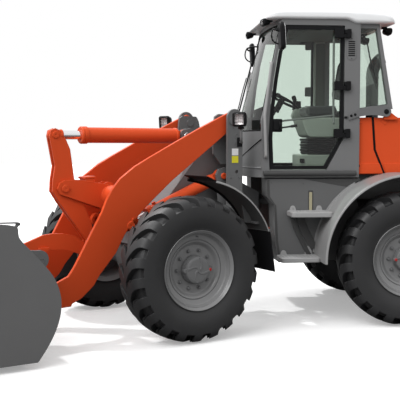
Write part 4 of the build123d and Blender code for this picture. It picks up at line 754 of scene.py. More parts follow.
# %% Rods and eyes
def rod_and_eye(name, base, tip, half, deep, rod_r, eye_r, eye_wide, pin_r, reach, axis="y", neck=112, swell=12):
    """Chromed rod from inside the barrel to the neck, and the painted eye on its end."""
    start, end = (Vector(spot(axis, *point, deep)) for point in (base, tip))
    across = AXIS[axis]
    along = (end - start).normalized()
    length = (end - start).length
    bm = bmesh.new()
    turned(bm, ((0, reach - 120), (rod_r, reach - 120), (rod_r, length - 60), (0, length - 60)), start, along, steps=48)
    rod = finished(f"{name}_chrome", bm, chrome, name, half)
    bm = bmesh.new()
    turned(bm, ((pin_r, -eye_wide / 2), (eye_r - 3, -eye_wide / 2), (eye_r, 3 - eye_wide / 2),
                (eye_r, eye_wide / 2 - 3), (eye_r - 3, eye_wide / 2), (pin_r, eye_wide / 2)), end, across, steps=40,
           closed=True)
    turned(bm, ((0, -neck), (rod_r + swell - 7, -neck), (rod_r + swell, -neck + 8), (rod_r + swell - 3, -neck + 30),
                (rod_r * 0.9, -46), (0, -46)), end, along, steps=40)
    finished(f"{name}_eye", bm, orange, name, half)
    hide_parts(name)


for hand, side in SIDES:
    rod_and_eye(f"lift_rod_{hand}", LIFT_BASE, LIFT_EYE, FRONT, side * 330, 32, 60, 56, 30, 880)
rod_and_eye("tilt_rod", TILT_BASE, TILT_EYE, FRONT, 0, 40, 58, 33, 30, 1114, neck=80)
turn = Matrix.Rotation(steer, 2)
for hand, side in SIDES:
    eye = turn @ Vector((250, side * 155))
    rod_and_eye(f"steer_rod_{hand}", (-640, side * 215), eye, REAR, 800, 20, 34, 38, 22, 560, axis="z", swell=6)

# %% Rings and ports on the barrels
r, start, reach = 57.5, 120, 880      # radius of the lift barrel, where its first ring is and where it ends
for hand, side in SIDES:
    a, b = (Vector((point[0], side * 330, point[1])) for point in (LIFT_BASE, LIFT_EYE))
    along = (b - a).normalized()
    up = (AXIS["z"] - along * along.z).normalized()
    bm = bmesh.new()
    turned(bm, ((r - 2, start), (r + 2, start + 2), (r + 2.5, start + 5), (r + 2.5, start + 20), (r, start + 26),
                (r - 2, start + 26)), a, along, steps=48, closed=True)
    turned(bm, ((r - 2, reach - 68), (r + 7, reach - 66), (r + 8, reach - 62), (r + 8, reach - 12), (r + 6, reach - 6),
                (r - 4, reach - 1), (r - 14, reach + 1), (r - 14, reach - 68)), a, along, steps=48, closed=True)
    turned(bm, ((0, 0), (19, 0), (19, 18), (16, 22), (0, 22)), a + along * (reach - 110) + up * (r - 4), up, steps=20)
    finished(f"lift_barrel_{hand}_rings", bm, orange, f"lift_barrel_{hand}")
bm = bmesh.new()
a = Vector((TILT_BASE[0], 0, TILT_BASE[1]))
turned(bm, ((60, 88), (76, 92), (77.5, 96), (77.5, 112), (72, 118), (60, 118)), a, (1, 0, 0.003), steps=56,
       closed=True)
turned(bm, ((60, 1050), (79, 1050), (81, 1054), (81, 1084), (76, 1088), (76, 1092), (81, 1096), (81, 1106),
            (76, 1113), (60, 1116)), a, (1, 0, 0.003), steps=56, closed=True)
finished("tilt_barrel_rings", bm, orange, "tilt_barrel")

# %% [markdown]
# ## Work lamps on the stands
# Each lamp is a moulded black housing with a square face, a bright faceted reflector and a clear
# lens, on a short foot and a bent tube. The housing is a box that narrows to the rear and whose
# front is let in for the reflector; the facets are small blocks, each turned a little.

# %% Stand lamps
def work_lamp(centre, aim, tilt, size, name, body, deep=100.0, high=150.0):
    """Squarish lamp that looks along aim degrees from forward, in the plane of the ground."""
    place = Matrix.Translation(centre) @ Matrix.Rotation(radians(aim), 4, "Z") @ Matrix.Rotation(radians(tilt), 4, "Y")
    place = half_of(body) @ place
    s = size / 150
    bm = bmesh.new()
    cube = bmesh.ops.create_cube(bm, size=1.0)["verts"]
    bmesh.ops.scale(bm, vec=(deep * s, 150 * s, high * s), verts=cube)
    rear = [v for v in cube if v.co.x < 0]
    bmesh.ops.scale(bm, vec=(1, 0.66, 0.66), verts=rear)
    bmesh.ops.bevel(bm, geom=[e for e in bm.edges], offset=26 * s, segments=4, profile=0.5, affect="EDGES",
                    offset_type="OFFSET", clamp_overlap=True, material=-1)
    # the front is let in to hold the reflector
    face = max(bm.faces, key=lambda f: f.calc_center_median().x)
    bmesh.ops.inset_region(bm, faces=[face], thickness=1 * s, depth=3 * s)
    grown = bmesh.ops.extrude_face_region(bm, geom=[face])["geom"]
    bmesh.ops.delete(bm, geom=[face], context="FACES")
    sunk = [g for g in grown if isinstance(g, bmesh.types.BMVert)]
    bmesh.ops.translate(bm, verts=sunk, vec=(-24 * s, 0, 0))
    finished(f"{name}_housing", bm, black_trim, body, place)
    wide, tall = 150 * s - 46 * s, high * s - 46 * s
    bm = bmesh.new()
    for row in range(4):
        for column in range(5):
            y, z = (column - 2) * wide / 5, (row - 1.5) * tall / 4
            block(bm, (deep * s / 2 - 19 * s + 2 * (row % 2) + 2 * (column % 2), y, z), (4, wide / 5.2, tall / 4.2), 1,
                  turn=Euler((0, 0.24 * (row - 1.5), 0.22 * (column - 2))))
    finished(f"{name}_reflector", bm, lamp_inside, body, place, sharp=5)
    bm = bmesh.new()
    slab(bm, (deep * s / 2 - 2 * s, 0, 0), (5 * s, wide + 8 * s, tall + 8 * s), 16 * s, 1.5 * s, "x")
    finished(f"{name}_lens", bm, lens_glass, body, place, sharp=60)


for (hand, side), aim in zip(SIDES, (36, 24)):
    work_lamp((640, side * 706, 1958), aim, 4, 150, f"stand_lamp_{hand}", "front_frame")
bm = bmesh.new()
block(bm, (628, 698, 1876), (46, 40, 22), 4)
turned(bm, ((0, 0), (9, 0), (9, 30), (0, 30)), (628, 698, 1850), (0, 0, 1), steps=16)
block(bm, (490, 474, 1745), (60, 8, 90), 3)
for z in (1720, 1770):
    bolt(bm, (490, 478, z), (0, 1, 0), 10, 7)
both_sides(bm)
lamp_feet = finished("stand_lamp_feet", bm, black_trim, "front_frame")
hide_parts("stand_lamps")

# %% Lamp brackets, blank plates and small bolts on the stands
bm = bmesh.new()
tube(bm, ((486, 476, 1745), (490, 510, 1738), (560, 620, 1742), (622, 690, 1752), (632, 702, 1790),
          (628, 698, 1862)), 10)
both_sides(bm)
finished("stand_rails", bm, post_grey, "front_frame")
for name, material, z in (("white", plate_white, 1650), ("yellow", plate_yellow, 1578)):
    bm = bmesh.new()
    block(bm, (541, 471, z), (74, 2.4, 66), 0.8)
    both_sides(bm)
    finished(f"stand_plate_{name}", bm, material, "front_frame")
bm = bmesh.new()
for x, z in ((560, 1885), (495, 1403), (590, 1403), (500, 1120), (590, 1120)):
    bolt(bm, (x, STAND_FACE, z), (0, 1, 0), 9, 6)
for z in (1730, 1800):
    turned(bm, ((20, 0), (22, 2.5), (26, 2.5), (28, 0)), (520, STAND_FACE, z), (0, 1, 0), steps=24, closed=True)
both_sides(bm)
finished("stand_bolts", bm, post_grey, "front_frame")

# %% [markdown]
# ## Loading arms
# The two arms are thick plates cut from one outline, joined by a cross tube that also carries the
# bracket of the bell crank. The plates are drawn out and their edges rounded, which gives the
# bright line along every edge. The stop of the bell crank is a block on top of the bracket.

# %% Arms, cross tube and bracket
ARM = ((2357, 527), (2248, 576), (2194, 652), (1921, 1132), (1878, 1232), (1821, 1326), (1739, 1421),
       (1591, 1527), (1434, 1611), (1145, 1757), (910, 1874), (617, 2010), (569, 2030), (500, 1995),
       (484, 1945), (520, 1880), (616, 1821), (907, 1608), (1201, 1394), (1500, 1141), (1656, 973),
       (1708, 902), (1791, 750), (1952, 563), (2012, 472), (2127, 372), (2219, 330), (2229, 307),
       (2330, 302), (2440, 330), (2520, 350), (2560, 390), (2563, 440), (2530, 485), (2470, 500))
BRACKET = ((2130, 1400), (1990, 1400), (1672, 1345), (1590, 1290), (1600, 1160), (1740, 1115), (2179, 1270),
           (2205, 1323), (2185, 1375))
ARM_IN = 379.0            # inner face of each arm
bm = bmesh.new()
plate(bm, ARM, "y", ARM_OUT, ARM_IN, 5)
plate(bm, BRACKET, "y", 75, 50, 4)
turned(bm, ((0, 0), (43, 0), (45, 3), (45, 18), (0, 18)), (LIFT_EYE[0], 380, LIFT_EYE[1]), (0, -1, 0))
# weld between tube and arm, and the web from the bracket up the tube
turned(bm, ((98, 0), (110, 0), (104, 6), (98, 12)), (1672, ARM_IN, 1243), (0, -1, 0), steps=56, closed=True)
plate(bm, ((1760, 1352), (1640, 1335), (1648, 1362), (1700, 1376)), "y", 66, 54, 2)
both_sides(bm)
turned(bm, ((0, -ARM_IN), (100, -ARM_IN), (100, ARM_IN), (0, ARM_IN)), (1672, 0, 1243), (0, 1, 0), steps=72)
# stop of the bell crank: a block with a lip
plate(bm, ((1836, 1362), (1928, 1376), (1926, 1404), (1840, 1410)), "y", 74, -74, 4)
block(bm, (1884, 0, 1418), (112, 156, 20), 4, turn=Euler((0, 0.05, 0)))
arms = finished("loading_arms", bm, orange, "boom", sharp=30)
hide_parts("boom")
bm = bmesh.new()
block(bm, (2326, 27, 770), (100, 20, 42), 4)
both_sides(bm)
finished("link_stops", bm, orange, "tilt_link")

# %% [markdown]
# ## Cab: door, hinges and rails
# The door is one pane in a black rubber-faced frame. Its hinges are moulded black blocks, half on
# the door and half on the pillar; inside it has a latch box with a lever and two grab rails. All
# of them are flat boxes with round corners, so one helper makes them.

# %% Door fittings
bm = bmesh.new()
for z in (1830, 2290, 2790):
    slab(bm, (-732, 672, z), (86, 44, 88), 10, 3)
slab(bm, (-139, 624, 1906), (92, 52, 126), 10, 4)
slab(bm, (-150, 604, 1890), (60, 40, 70), 12, 4)
tube(bm, ((-184, 596, 1884), (-250, 592, 1892), (-290, 590, 1900)), 9)
tube(bm, ((-282, 590, 1898), (-342, 588, 1906)), 14, sides=5)
slab(bm, (-128, 662, 1906), (60, 26, 96), 12, 4)
tube(bm, ((-150, 668, 1936), (-156, 690, 1934), (-156, 692, 1880), (-150, 668, 1874)), 9)
finished("door_blocks", bm, black_trim, "door")
bm = bmesh.new()
tube(bm, ((-186, 596, 1950), (-440, 594, 1978), (-712, 596, 2006)), 10)
tube(bm, ((-700, 612, 2770), (-699, 590, 2760), (-702, 590, 2350), (-703, 590, 1940), (-703, 612, 1925)), 12)
finished("door_rails", bm, light_grey, "door")
bm = bmesh.new()
for z in (1830, 2290, 2790):
    slab(bm, (-829, 668, z), (44, 36, 88), 8, 3)
    for dz in (-24, 24):
        bolt(bm, (-836, 686, z + dz), (0, 1, 0), 8, 4, washer=False)
finished("pillar_blocks", bm, black_trim)

# %% Oval vent in the pillar
bm = bmesh.new()
slab(bm, (-862, 651.5, 2650), (98, 5, 225), 48)
both_sides(bm)
finished("pillar_vent", bm, cab_grey)
bm = bmesh.new()
for k in range(8):
    block(bm, (-862, 655, 2584 + 19 * k), (66, 7, 9), 2, turn=Euler((0.7, 0, 0)))
for z in (2554, 2746):
    bolt(bm, (-862, 653, z), (0, 1, 0), 7, 3, washer=False)
both_sides(bm)
finished("pillar_vent_louvres", bm, black_trim)

# %% [markdown]
# ## Cab: front
# Under the windscreen the cab is a curved sheet with a pressed groove that rises towards the side,
# and a folded ledge along its foot. The groove is not pressed in: a thin black tube on the sheet
# paints its shade. Both follow the curve of the sheet, which is worked out from the same arc as the
# frame. The windscreen has a rubber seal and a parallel-arm wiper.

# %% Panel, seals and wiper
def front_of_cab(y, z, proud=0.0):
    """Point on the cab's curved front at this y and height."""
    top = min(1.0, max(0.0, (z - 1960) / 966))
    middle, corner = 150 - 264 * top, 12 - 186 * top
    return (corner + (middle - corner) * (1 - (y / 650) ** 2) + proud, y, z)


# painted shade of the pressed groove: a thin black tube 3 mm proud of the sheet
bm = bmesh.new()
tube(bm, [front_of_cab(y, z, 3) for y, z in ((642, 1772), (560, 1736), (400, 1669), (160, 1592), (60, 1552))], 6)
both_sides(bm)
finished("front_panel_groove_shade", bm, black_rubber_and_shade)
bm = bmesh.new()
for z, proud, radius in ((1492, -2, 11), (1408, -4, 9)):
    tube(bm, [front_of_cab(y, z, proud) for y in (640, 480, 240, 0, -240, -480, -640)], radius)
finished("front_panel_ledge", bm, cab_grey)
bm = bmesh.new()
tube(bm, [front_of_cab(622, z, -6) for z in (1862, 1960, 2300, 2600, 2870)], 9)
both_sides(bm)
for z in (1856, 2874):
    tube(bm, [front_of_cab(y, z, -6) for y in (622, 400, 150, -150, -400, -622)], 9)
finished("windscreen_seal", bm, black_rubber_and_shade)
bm = bmesh.new()
for shift in (0, 34):
    tube(bm, [front_of_cab(-200 - shift - 60 * k / 4, 1830 + 150 * k, 26 + 6 * (k % 2)) for k in range(5)], 5)
tube(bm, [front_of_cab(-270 - 12 * k, 2060 + 135 * k, 10) for k in range(5)], 8)
block(bm, front_of_cab(-215, 1826, 14), (40, 80, 40), 8)
finished("wiper_front", bm, black_trim)

# %% [markdown]
# ## Cab: inside
# Behind the tinted glass one sees the seat on its suspension: a pale moulded plinth, black folded
# bellows and a shell that holds the cushion. A console with a joystick stands on the right, and
# the far pillar has a moulded cover. The bellows are square, so they can't be spun: they are a stack
# of rounded frames, every second one a little larger.

# %% Suspension, shell and console
bm = bmesh.new()
slab(bm, (-645, 0, 1528), (376, 396, 172), 26, 8, "z")
slab(bm, (-500, 0, 1560), (88, 380, 116), 18, 10, "z")
slab(bm, (-560, 199, 1545), (46, 4, 70), 6, 1)
slab(bm, (-560, -199, 1545), (46, 4, 70), 6, 1)
plate(bm, ((-470, 1996), (-482, 1930), (-528, 1812), (-560, 1793), (-850, 1793), (-886, 1850), (-892, 1996)), "y",
      228, -228, 16, 3)
slab(bm, (-968, 0, 2290), (26, 112, 320), 10, 5)
base = finished("seat_shell", bm, trim_grey)
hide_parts("seat_base")
bm = bmesh.new()
for k in range(6):
    grow = 14 if k % 2 else 0
    slab(bm, (-690, 0, 1636 + 27 * k), (312 + grow, 344 + grow, 26), 30, 8, "z")
slab(bm, (-480, 207, 1554), (50, 8, 44), 8, 2)
finished("seat_bellows", bm, black_rubber_and_shade)
bm = bmesh.new()
plate(bm, ((-470, 2030), (-500, 2106), (-700, 2122), (-890, 2116), (-890, 1830), (-610, 1812), (-520, 1930)), "y",
      -264, -370, 14, 3)
slab(bm, (-760, -317, 1640), (230, 104, 396), 20, 8, "z")
console = finished("console_shell", bm, trim_grey)
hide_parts("side_console")
bm = bmesh.new()
turned(bm, ((0, 2190), (44, 2186), (46, 2110), (52, 2104), (52, 2096), (0, 2096)), (-530, -317, 0), (0, 0, 1),
       steps=28)
for k in range(5):
    turned(bm, ((20, 0), (33 - 2 * k, 3), (33 - 2 * k, 7), (20, 10)), (-530, -317, 2120 + 10 * k), (0, 0, 1), steps=24)
tube(bm, ((-528, -317, 2150), (-512, -317, 2190), (-498, -317, 2222)), 12)
block(bm, (-500, -317, 2216), (46, 44, 64), 16, 4, turn=Euler((0, 0.35, 0)))
finished("joystick", bm, black_rubber_and_shade)

# %% Far pillar cover, latches and roof lining
bm = bmesh.new()
slab(bm, (-862, -592, 2490), (150, 12, 700), 30, 4)
finished("pillar_cover", bm, trim_dark)
bm = bmesh.new()
for x in (-785, -940):
    tube(bm, ((x, -590, 2150), (x, -584, 2300), (x, -584, 2700), (x, -590, 2850)), 14)
tube(bm, ((-785, -588, 2846), (-862, -584, 2862), (-940, -588, 2846)), 12)
finished("pillar_cover_rim", bm, trim_grey)
bm = bmesh.new()
for z in (2306, 2820):
    slab(bm, (-716, -602, z), (72, 26, 104), 14, 4)
    turned(bm, ((0, 0), (16, 0), (16, 8), (0, 8)), (-716, -590, z), (0, 1, 0), steps=20)
finished("exit_latches", bm, frame_grey)
bm = bmesh.new()
slab(bm, (-560, 0, 2868), (720, 1180, 30), 60, 10, "z")
slab(bm, (-420, 0, 2846), (360, 1120, 30), 40, 10, "z")
for y in (-480, -160, 160, 480):
    for k in range(4):
        block(bm, (-330 - 34 * k, y, 2829), (16, 150, 6), 2, turn=Euler((0, 0.5, 0)))
finished("roof_lining", bm, trim_dark)
bm = bmesh.new()
slab(bm, (-440, 0, 1444), (860, 1180, 8), 40, 2, "z")
for k in range(9):
    block(bm, (-80 - 45 * k, 330, 1450), (14, 420, 5), 2)
slab(bm, (-40, 120, 1500), (70, 120, 16), 12, 4, "z", turn=Euler((0, -0.5, 0)))
finished("cab_floor_mat", bm, trim_dark)

# %% [markdown]
# ## Mirrors, roof lamps and small fittings
# Mirrors and lamps are moulded black housings: a box whose corners are rounded far more than its
# depth. Each mirror has its own bent-tube bracket and a separate glass.

# %% Mirrors
bm, glass_bm = bmesh.new(), bmesh.new()
turn = Euler((0, 0.06, 0.02))
slab(bm, (-128, 880, 2735), (44, 150, 262), 52, 12, "x", turn)
slab(glass_bm, (-152, 884, 2735), (4, 128, 238), 46, 1, "x", turn)
tube(bm, ((-168, 662, 2800), (-146, 705, 2818), (-60, 800, 2806), (-58, 872, 2796), (-104, 880, 2780)), 9)
tube(bm, ((-60, 806, 2806), (-40, 846, 2780), (-40, 850, 2680), (-100, 880, 2660)), 7)
slab(bm, (-167, 656, 2800), (44, 12, 76), 10, 3)
both_sides(bm)
both_sides(glass_bm)
mirror_bodies = finished("mirror_bodies", bm, black_trim)
finished("mirror_glass", glass_bm, chrome)
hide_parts("mirrors")

# %% Roof lamps
for place, side, aim in (("0l", 1, 6), ("0r", -1, -6), ("1l", 1, 176), ("1r", -1, 184)):
    x, y, z = (-42, 500, 2912) if place[0] == "0" else (-1290, 400, 2850)
    work_lamp((x, side * y, z), aim, 8, 138, f"roof_lamp_{place}", "rear_frame", deep=92, high=86)
bm = bmesh.new()
for centre in ((-86, 500, 2925), (-1262, 400, 2884)):
    block(bm, centre, (46, 60, 20), 6)
both_sides(bm)
lamp_mounts = finished("roof_lamp_mounts", bm, black_trim)
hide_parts("roof_lamps")

# %% Bolts on the hood arms, and the rear wiper
bm = bmesh.new()
for x, z in ((-864, 2001), (-902, 2012)):
    bolt(bm, (x, 661, z), (0, 1, 0), 15, 8)
turned(bm, ((0, 14), (9, 14), (10, 5), (24, 5), (26, 0)), (-1215, 661, 2042), (0, 1, 0), steps=28)
block(bm, (-812, 656, 1985), (30, 12, 20), 4)
both_sides(bm)
finished("hood_arm_bolts", bm, black_trim)
bm = bmesh.new()
tube(bm, ((-1128, 60, 2862), (-1172, 80, 2850), (-1210, 130, 2560), (-1222, 170, 2480)), 7)
tube(bm, ((-1216, 60, 2640), (-1232, 230, 2420), (-1236, 280, 2340)), 7)
block(bm, (-1150, 60, 2866), (60, 90, 40), 10)
finished("wiper_rear", bm, black_trim)

# %% [markdown]
# ## Roof
# The roof is one moulded white shell, full at its edges, that falls away at both ends and drops
# below the cab's top behind. A slab with round corners is cut across into stations, and each
# station's height is then set from the roof's side view.

# %% Roof shell
ROOF_OVER = ((-10, 2950), (-50, 2984), (-110, 2998), (-220, 3008), (-571, 3012), (-990, 3010), (-1180, 2992),
             (-1262, 2962), (-1305, 2915))
ROOF_UNDER = ((-10, 2927), (-820, 2927), (-900, 2892), (-1305, 2892))


def height_at(line, x):
    """Height of a side-view line at x, where the line runs from front to rear."""
    for (x0, z0), (x1, z1) in zip(line, line[1:]):
        if x >= x1:
            return z0 + (z1 - z0) * min(1.0, max(0.0, (x - x0) / (x1 - x0)))
    return line[-1][1]


bm = bmesh.new()
slab(bm, (-657.5, 0, 50), (1295, 1360, 100), 90, 0, "z")
soften(bm, list(bm.faces), 34, 5)
cuts = [((-16 - 29 * k, 0, 0), AXIS["x"]) for k in range(44)] + [((0, y, 0), AXIS["y"]) for y in (-500, -350, 350, 500)]
for at, across in cuts:
    bmesh.ops.bisect_plane(bm, geom=[*bm.verts, *bm.edges, *bm.faces], dist=0.01, plane_co=at, plane_no=across)
for vert in bm.verts:
    x, y, t = vert.co.x, vert.co.y, vert.co.z / 100
    # the front edge is bowed in plan: full forward in the middle
    if x > -300:
        x = vert.co.x = x - 40 * (abs(y) / 680) ** 2 * (x + 300) / 290
    low, high = height_at(ROOF_UNDER, x), height_at(ROOF_OVER, x)
    rib = 5 * max(0.0, 1 - abs(abs(y) - 425) / 75) if t > 0.9 and x < -150 else 0
    vert.co.z = low + t * (high - low) - rib
roof = finished("roof_shell", bm, roof_white, sharp=40)
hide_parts("cab_roof")

# %% [markdown]
# ## Engine hood
# The hood is one orange shell that ends in a thick rubber seal against a fixed panel behind the
# cab. The panel is held by four tabs with black screws and ends in a folded ledge, which runs on
# along the hood. The hood breathes through louvred grilles at its sides and its rear.

# %% Hood seal, tabs and ledge
HOOD_SIDE = 615.0
seam = ((-1100, 1985), (-1124, 1671), (-1225, 1430))
bm = bmesh.new()
plate(bm, [(x + 20, z) for x, z in seam] + [(x - 2, z) for x, z in reversed(seam)], "y",
      HOOD_SIDE + 4, HOOD_SIDE - 5, 1)
both_sides(bm)
plate(bm, ((-1102, 619), (-1102, -325), (-1080, -325), (-1080, 619)), "z", 1982, 1989, 1)
plate(bm, ((-1102, -515), (-1102, -619), (-1080, -619), (-1080, -515)), "z", 1982, 1989, 1)
finished("hood_seal", bm, black_rubber_and_shade)
bm, screws = bmesh.new(), bmesh.new()
for x, z in ((-954, 1953), (-958, 1511)):
    slab(bm, (x, HOOD_SIDE + 3, z), (56, 8, 56), 6, 2)
    bolt(screws, (x + 2, HOOD_SIDE + 7, z), (0, 1, 0), 12, 7)
plate(bm, ((-952, 1530), (-1030, 1538), (-1164, 1536), (-1204, 1434), (-952, 1434)), "y", HOOD_SIDE, HOOD_SIDE + 9, 5)
both_sides(bm)
both_sides(screws)
finished("bay_tabs", bm, orange)
finished("bay_screws", screws, black_trim)
bm = bmesh.new()
plate(bm, ((-1196, 1536), (-2150, 1536), (-2186, 1434), (-1236, 1434)), "y", HOOD_SIDE, HOOD_SIDE + 8, 5)
plate(bm, ((-1168, 1956), (-1262, 1956), (-1214, 1908)), "y", HOOD_SIDE, HOOD_SIDE + 3, 1.5)
# raised field around the grille
slab(bm, (-2080, HOOD_SIDE + 1, 1640), (520, 6, 120), 40, 2.5)
both_sides(bm)
finished("hood_ledges", bm, orange, "hood")
bm = bmesh.new()
slab(bm, (-2080, HOOD_SIDE + 4, 1640), (470, 4, 92), 26, 1)
for k in range(15):
    block(bm, (-2278 + 28.3 * k, HOOD_SIDE + 6, 1640), (8, 7, 84), 2, turn=Euler((0, 0, 0.5)))
both_sides(bm)
for k in range(9):
    block(bm, (-2557.5, 0, 1350 + 40 * k), (5, 820, 14), 2, turn=Euler((0, 0.3, 0)))
for y in (-420, 420, 0):
    block(bm, (-2557.5, y, 1510), (5, 22, 400), 2)
slab(bm, (-2554, 0, 1700), (12, 150, 40), 10, 3, "x")
finished("hood_grilles", bm, black_trim, "hood")

# %% [markdown]
# ## Exhaust, skirts and rear lamps
# The exhaust is a black tube with a flared mouth. Dark inner skirts close the gap between the
# hood and the rear fenders, as the sides of the engine bay do. The counterweight carries the
# tail lamps.

# %% Exhaust trims and skirts
bm = bmesh.new()
for z in (1996, 2080, 2440):
    turned(bm, ((66, 0), (72, 3), (72, 21), (66, 24)), (-1395, -420, z), (0, 0, 1), steps=40, closed=True)
turned(bm, ((66, 0), (96, 0), (96, 8), (66, 12)), (-1395, -420, 1988), (0, 0, 1), steps=40, closed=True)
finished("exhaust_bands", bm, black_gloss)
bm = bmesh.new()
plate(bm, ((-560, 1180), (-560, 1386), (-946, 1386), (-946, 1440), (-2160, 1440), (-2240, 1300), (-2240, 1100),
           (-2100, 1060), (-2040, 1180)), "y", 560, 552, 3)
for k in range(5):
    slab(bm, (-1500 + 90 * k, 561, 1380), (70, 6, 60), 12, 2)
both_sides(bm)
finished("bay_skirts", bm, liner_and_shade_grey)

# %% Tail lamps and rear plates
bm = bmesh.new()
slab(bm, (-2642, 490, 1128), (22, 210, 84), 14, 4, "x")
both_sides(bm)
finished("tail_lamp_bodies", bm, black_trim)
for name, material, y, wide in (("tail_lamp_red", red_plug, 440, 84), ("tail_lamp_amber", amber, 540, 84)):
    bm = bmesh.new()
    slab(bm, (-2651, y, 1128), (6, wide, 64), 10, 2, "x")
    for k in range(5):
        block(bm, (-2653, y, 1106 + 11 * k), (3, wide - 16, 3), 0.8)
    both_sides(bm)
    finished(name, bm, material)
bm = bmesh.new()
slab(bm, (-2652, 0, 1040), (5, 420, 110), 14, 1.5, "x")
for y in (-180, 180):
    bolt(bm, (-2653, y, 1040), (-1, 0, 0), 9, 1, washer=False)
finished("rear_plate", bm, frame_grey)

# %% [markdown]
# ## Side tanks and steps
# The tank is folded sheet, so it gets its folds, a sight glass and a darker cover in the corner
# above the step. Each step is a rounded tread with studs, hung from two ears and held by two
# curved stays.

# %% Tank details
bm = bmesh.new()
plate(bm, ((-390, 1387), (-850, 1304), (-880, 1328), (-920, 1353), (-955, 1373), (-955, 1387)), "y", 650.3, 652, 0.5)
plate(bm, ((-60, 1384), (-66, 1218), (-130, 1126), (-150, 780), (-182, 590), (-160, 590), (-128, 780), (-110, 1136),
           (-42, 1220), (-36, 1384)), "y", 650.3, 653, 0.8)
for x, z in ((-395, 1342), (-80, 1350), (-120, 1040), (-150, 700)):
    bolt(bm, (x, 650, z), (0, 1, 0), 7, 3, washer=False)
slab(bm, (-470, 651, 1168), (50, 4, 212), 10)
both_sides(bm)
finished("tank_covers", bm, liner_and_shade_grey)
bm = bmesh.new()
slab(bm, (-470, 653, 1168), (30, 4, 180), 8)
both_sides(bm)
finished("sight_glass", bm, sight_beige)

# %% Steps
bm, stays = bmesh.new(), bmesh.new()
for x, foot, rise in ((-293, 1036, 64), (-554, 1036, 64), (-205, 603, 60), (-452, 603, 100)):
    ear = [(x + 20 * cos(radians(a)), foot + rise + 14 + 14 * sin(radians(a))) for a in (20, 60, 120, 160)]
    plate(bm, [(x + 46, foot + 8), (x + 24, foot + rise + 12), *ear, (x - 24, foot + rise + 12), (x - 46, foot + 8)],
          "y", 650.4, 658, 2)
for front, rear, z, high in ((-228, -636, 1032, 50), (-130, -520, 603, 46)):
    slab(bm, ((front + rear) / 2, 790, z + high / 2), (front - rear, 279, high), 42, 7, "z")
    for stud in range(50):
        turned(bm, ((7, 0), (9, 2.5), (12, 2.5), (14, 0)), (front - 38 - 35 * (stud % 10), 700 + 45 * (stud // 10),
               z + high - 0.5), (0, 0, 1), steps=10, closed=True)
for line, back in ((((-262, 1034), (-296, 900), (-372, 760), (-430, 649)),
                    ((-306, 1034), (-340, 905), (-416, 765), (-478, 649))),
                   (((-318, 1034), (-352, 905), (-428, 770), (-480, 690)),
                    ((-402, 1034), (-430, 930), (-486, 820), (-536, 730)))):
    plate(stays, smooth_line(line) + smooth_line(back)[::-1], "y", 650.4, 668, 3)
for x in (-293, -554):
    bolt(bm, (x, 657, 1100), (0, 1, 0), 9, 4, washer=False)
both_sides(bm)
both_sides(stays)
treads = finished("step_treads", bm, step_grey)
finished("step_stays", stays, liner_and_shade_grey)
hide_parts("access_steps")

# %% Rear fenders
bm = bmesh.new()
swept(bm, ((811, 655), (811, 1096), (808, 1109), (800, 1116), (788, 1117), (788, 1112), (797, 1110), (803, 1104),
           (806, 1094), (806, 655)), -HALF_BASE, -2, 150, 56)
swept(bm, ((826, 650.4), (826, 656), (808, 656), (808, 650.4)), -HALF_BASE, 2, 60, 24)
both_sides(bm)
sheet = finished("rear_fender_sheet", bm, fender_grey, sharp=50)
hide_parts("rear_fenders")
# dark sheet just under the fender: painted shade on its underside
bm = bmesh.new()
swept(bm, ((805, 660), (805, 1094), (802, 1100), (798, 1100), (798, 660)), -HALF_BASE, -2, 150, 56)
both_sides(bm)
finished("rear_fender_shade_sheet", bm, liner_and_shade_grey, sharp=50)
bm = bmesh.new()
for y, start, stop in ((674, 63, 80), (700, 62, 79)):
    swept(bm, ((811.5, y - 6), (811.5, y + 6), (809, y + 6), (809, y - 6)), -HALF_BASE, start, stop, 12)
both_sides(bm)
finished("fender_slots", bm, black_rubber_and_shade)

# %% [markdown]
# ## Seat cushions
# The cushions are foam in woven cloth. Each starts as a rounded slab a little smaller than its
# space, is remeshed to even small faces and inflated for twenty frames as cloth under pressure,
# which makes the crown and pulls the sides in between the corners. How far a point may move is
# capped, so that the cushion stays clear of its shell. The seams are sewn on afterwards.

# %% Cloth
seat_cloth, tree = new_material("seat_cloth")
place = node(tree, "TexCoord").outputs["Object"]
warp, weft = (node(tree, "TexWave", Vector=place, Scale=420.0, Distortion=0.6, Detail=1.0) for _ in range(2))
weft.bands_direction = "Z"
weave = node(tree, "Math", i0=warp.outputs["Fac"], i1=weft.outputs["Fac"])
weave.operation = "MAXIMUM"
cloud = node(tree, "TexNoise", Vector=place, Scale=9.0, Detail=3.0)
shade = node(tree, "Mix", Factor=cloud.outputs[0])
shade.data_type = "RGBA"
shade.inputs[6].default_value, shade.inputs[7].default_value = (0.030, 0.030, 0.032, 1), (0.052, 0.052, 0.055, 1)
knit = node(tree, "Bump", Strength=0.35, Distance=0.0008, Height=weave.outputs[0])
cloth = node(tree, "BsdfPrincipled", Base_Color=shade.outputs[2], Roughness=0.9, Normal=knit.outputs[0],
             Sheen_Weight=0.35)
tree.links.new(cloth.outputs[0], tree.nodes["out"].inputs[0])

# %% Inflate a cushion
FRAMES = 20


def grown_mesh(piece):
    """The piece's mesh as its modifiers leave it."""
    return bpy.data.meshes.new_from_object(piece.evaluated_get(bpy.context.evaluated_depsgraph_get()))


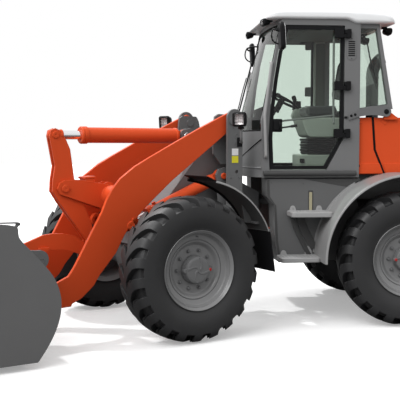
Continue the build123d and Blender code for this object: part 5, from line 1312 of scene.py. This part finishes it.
def cushion(name, bm, cap, seams):
    """Remeshes the slab, blows it up as cloth, caps the movement in mm and adds one subdivision."""
    pad = finished(name, bm, seat_cloth, sharp=180, crease=False)
    mesh = pad.data
    bpy.context.view_layer.objects.active = pad
    remesh = pad.modifiers.new("even", "REMESH")
    remesh.mode, remesh.voxel_size = "VOXEL", 0.009
    evened = pad.data = grown_mesh(pad)
    pad.modifiers.remove(remesh)
    start = [vert.co.copy() for vert in evened.vertices]
    blow = pad.modifiers.new("air", "CLOTH")
    blow.settings.quality = 5
    blow.settings.use_pressure = True
    blow.settings.uniform_pressure_force = 4.0
    blow.settings.effector_weights.gravity = 0
    blow.collision_settings.use_collision = False
    blow.point_cache.frame_start, blow.point_cache.frame_end = 1, FRAMES
    for number in range(1, FRAMES + 1):
        scene.frame_set(number)
    blown = grown_mesh(pad)
    pad.modifiers.remove(blow)
    scene.frame_set(1)
    for vert, rest in zip(blown.vertices, start):
        move = vert.co - rest
        if move.length > cap / 1000:
            vert.co = rest + move.normalized() * cap / 1000
    pad.data = blown
    mesh = blown
    if not mesh.materials:
        mesh.materials.append(seat_cloth)
    for polygon in mesh.polygons:
        polygon.use_smooth = True
    fine = pad.modifiers.new("fine", "SUBSURF")
    fine.levels = fine.render_levels = 1
    bm = bmesh.new()
    for line in seams:
        tube(bm, line, 3.2, sides=2)
    finished(f"{name}_piping", bm, black_rubber_and_shade)
    return pad


bm = bmesh.new()
slab(bm, (-688, 0, 2060), (352, 448, 84), 70, 26, "z")
for y in (214, -214):
    slab(bm, (-688, y, 2066), (300, 40, 86), 18, 14, "z")
seat_pad = cushion("seat_pad", bm, 12, (((-520, 130, 2112), (-640, 128, 2114), (-850, 126, 2110)),
                                        ((-520, -130, 2112), (-640, -128, 2114), (-850, -126, 2110))))
bm = bmesh.new()
lean = Euler((0, -0.20, 0))
slab(bm, (-978, 0, 2425), (78, 430, 500), 90, 26, "x", turn=lean)
for y in (186, -186):
    slab(bm, (-958, y, 2400), (84, 64, 420), 24, 20, "x", turn=lean)
cushion("back_pad", bm, 12, (((-908, 140, 2210), (-940, 138, 2400), (-985, 136, 2640)),
                             ((-908, -140, 2210), (-940, -138, 2400), (-985, -136, 2640))))
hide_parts("seat_cushions")

# %% Sizes and finish
print("pieces", len(pieces), "triangles", sum(len(p.data.polygons) for p in pieces) * 2)
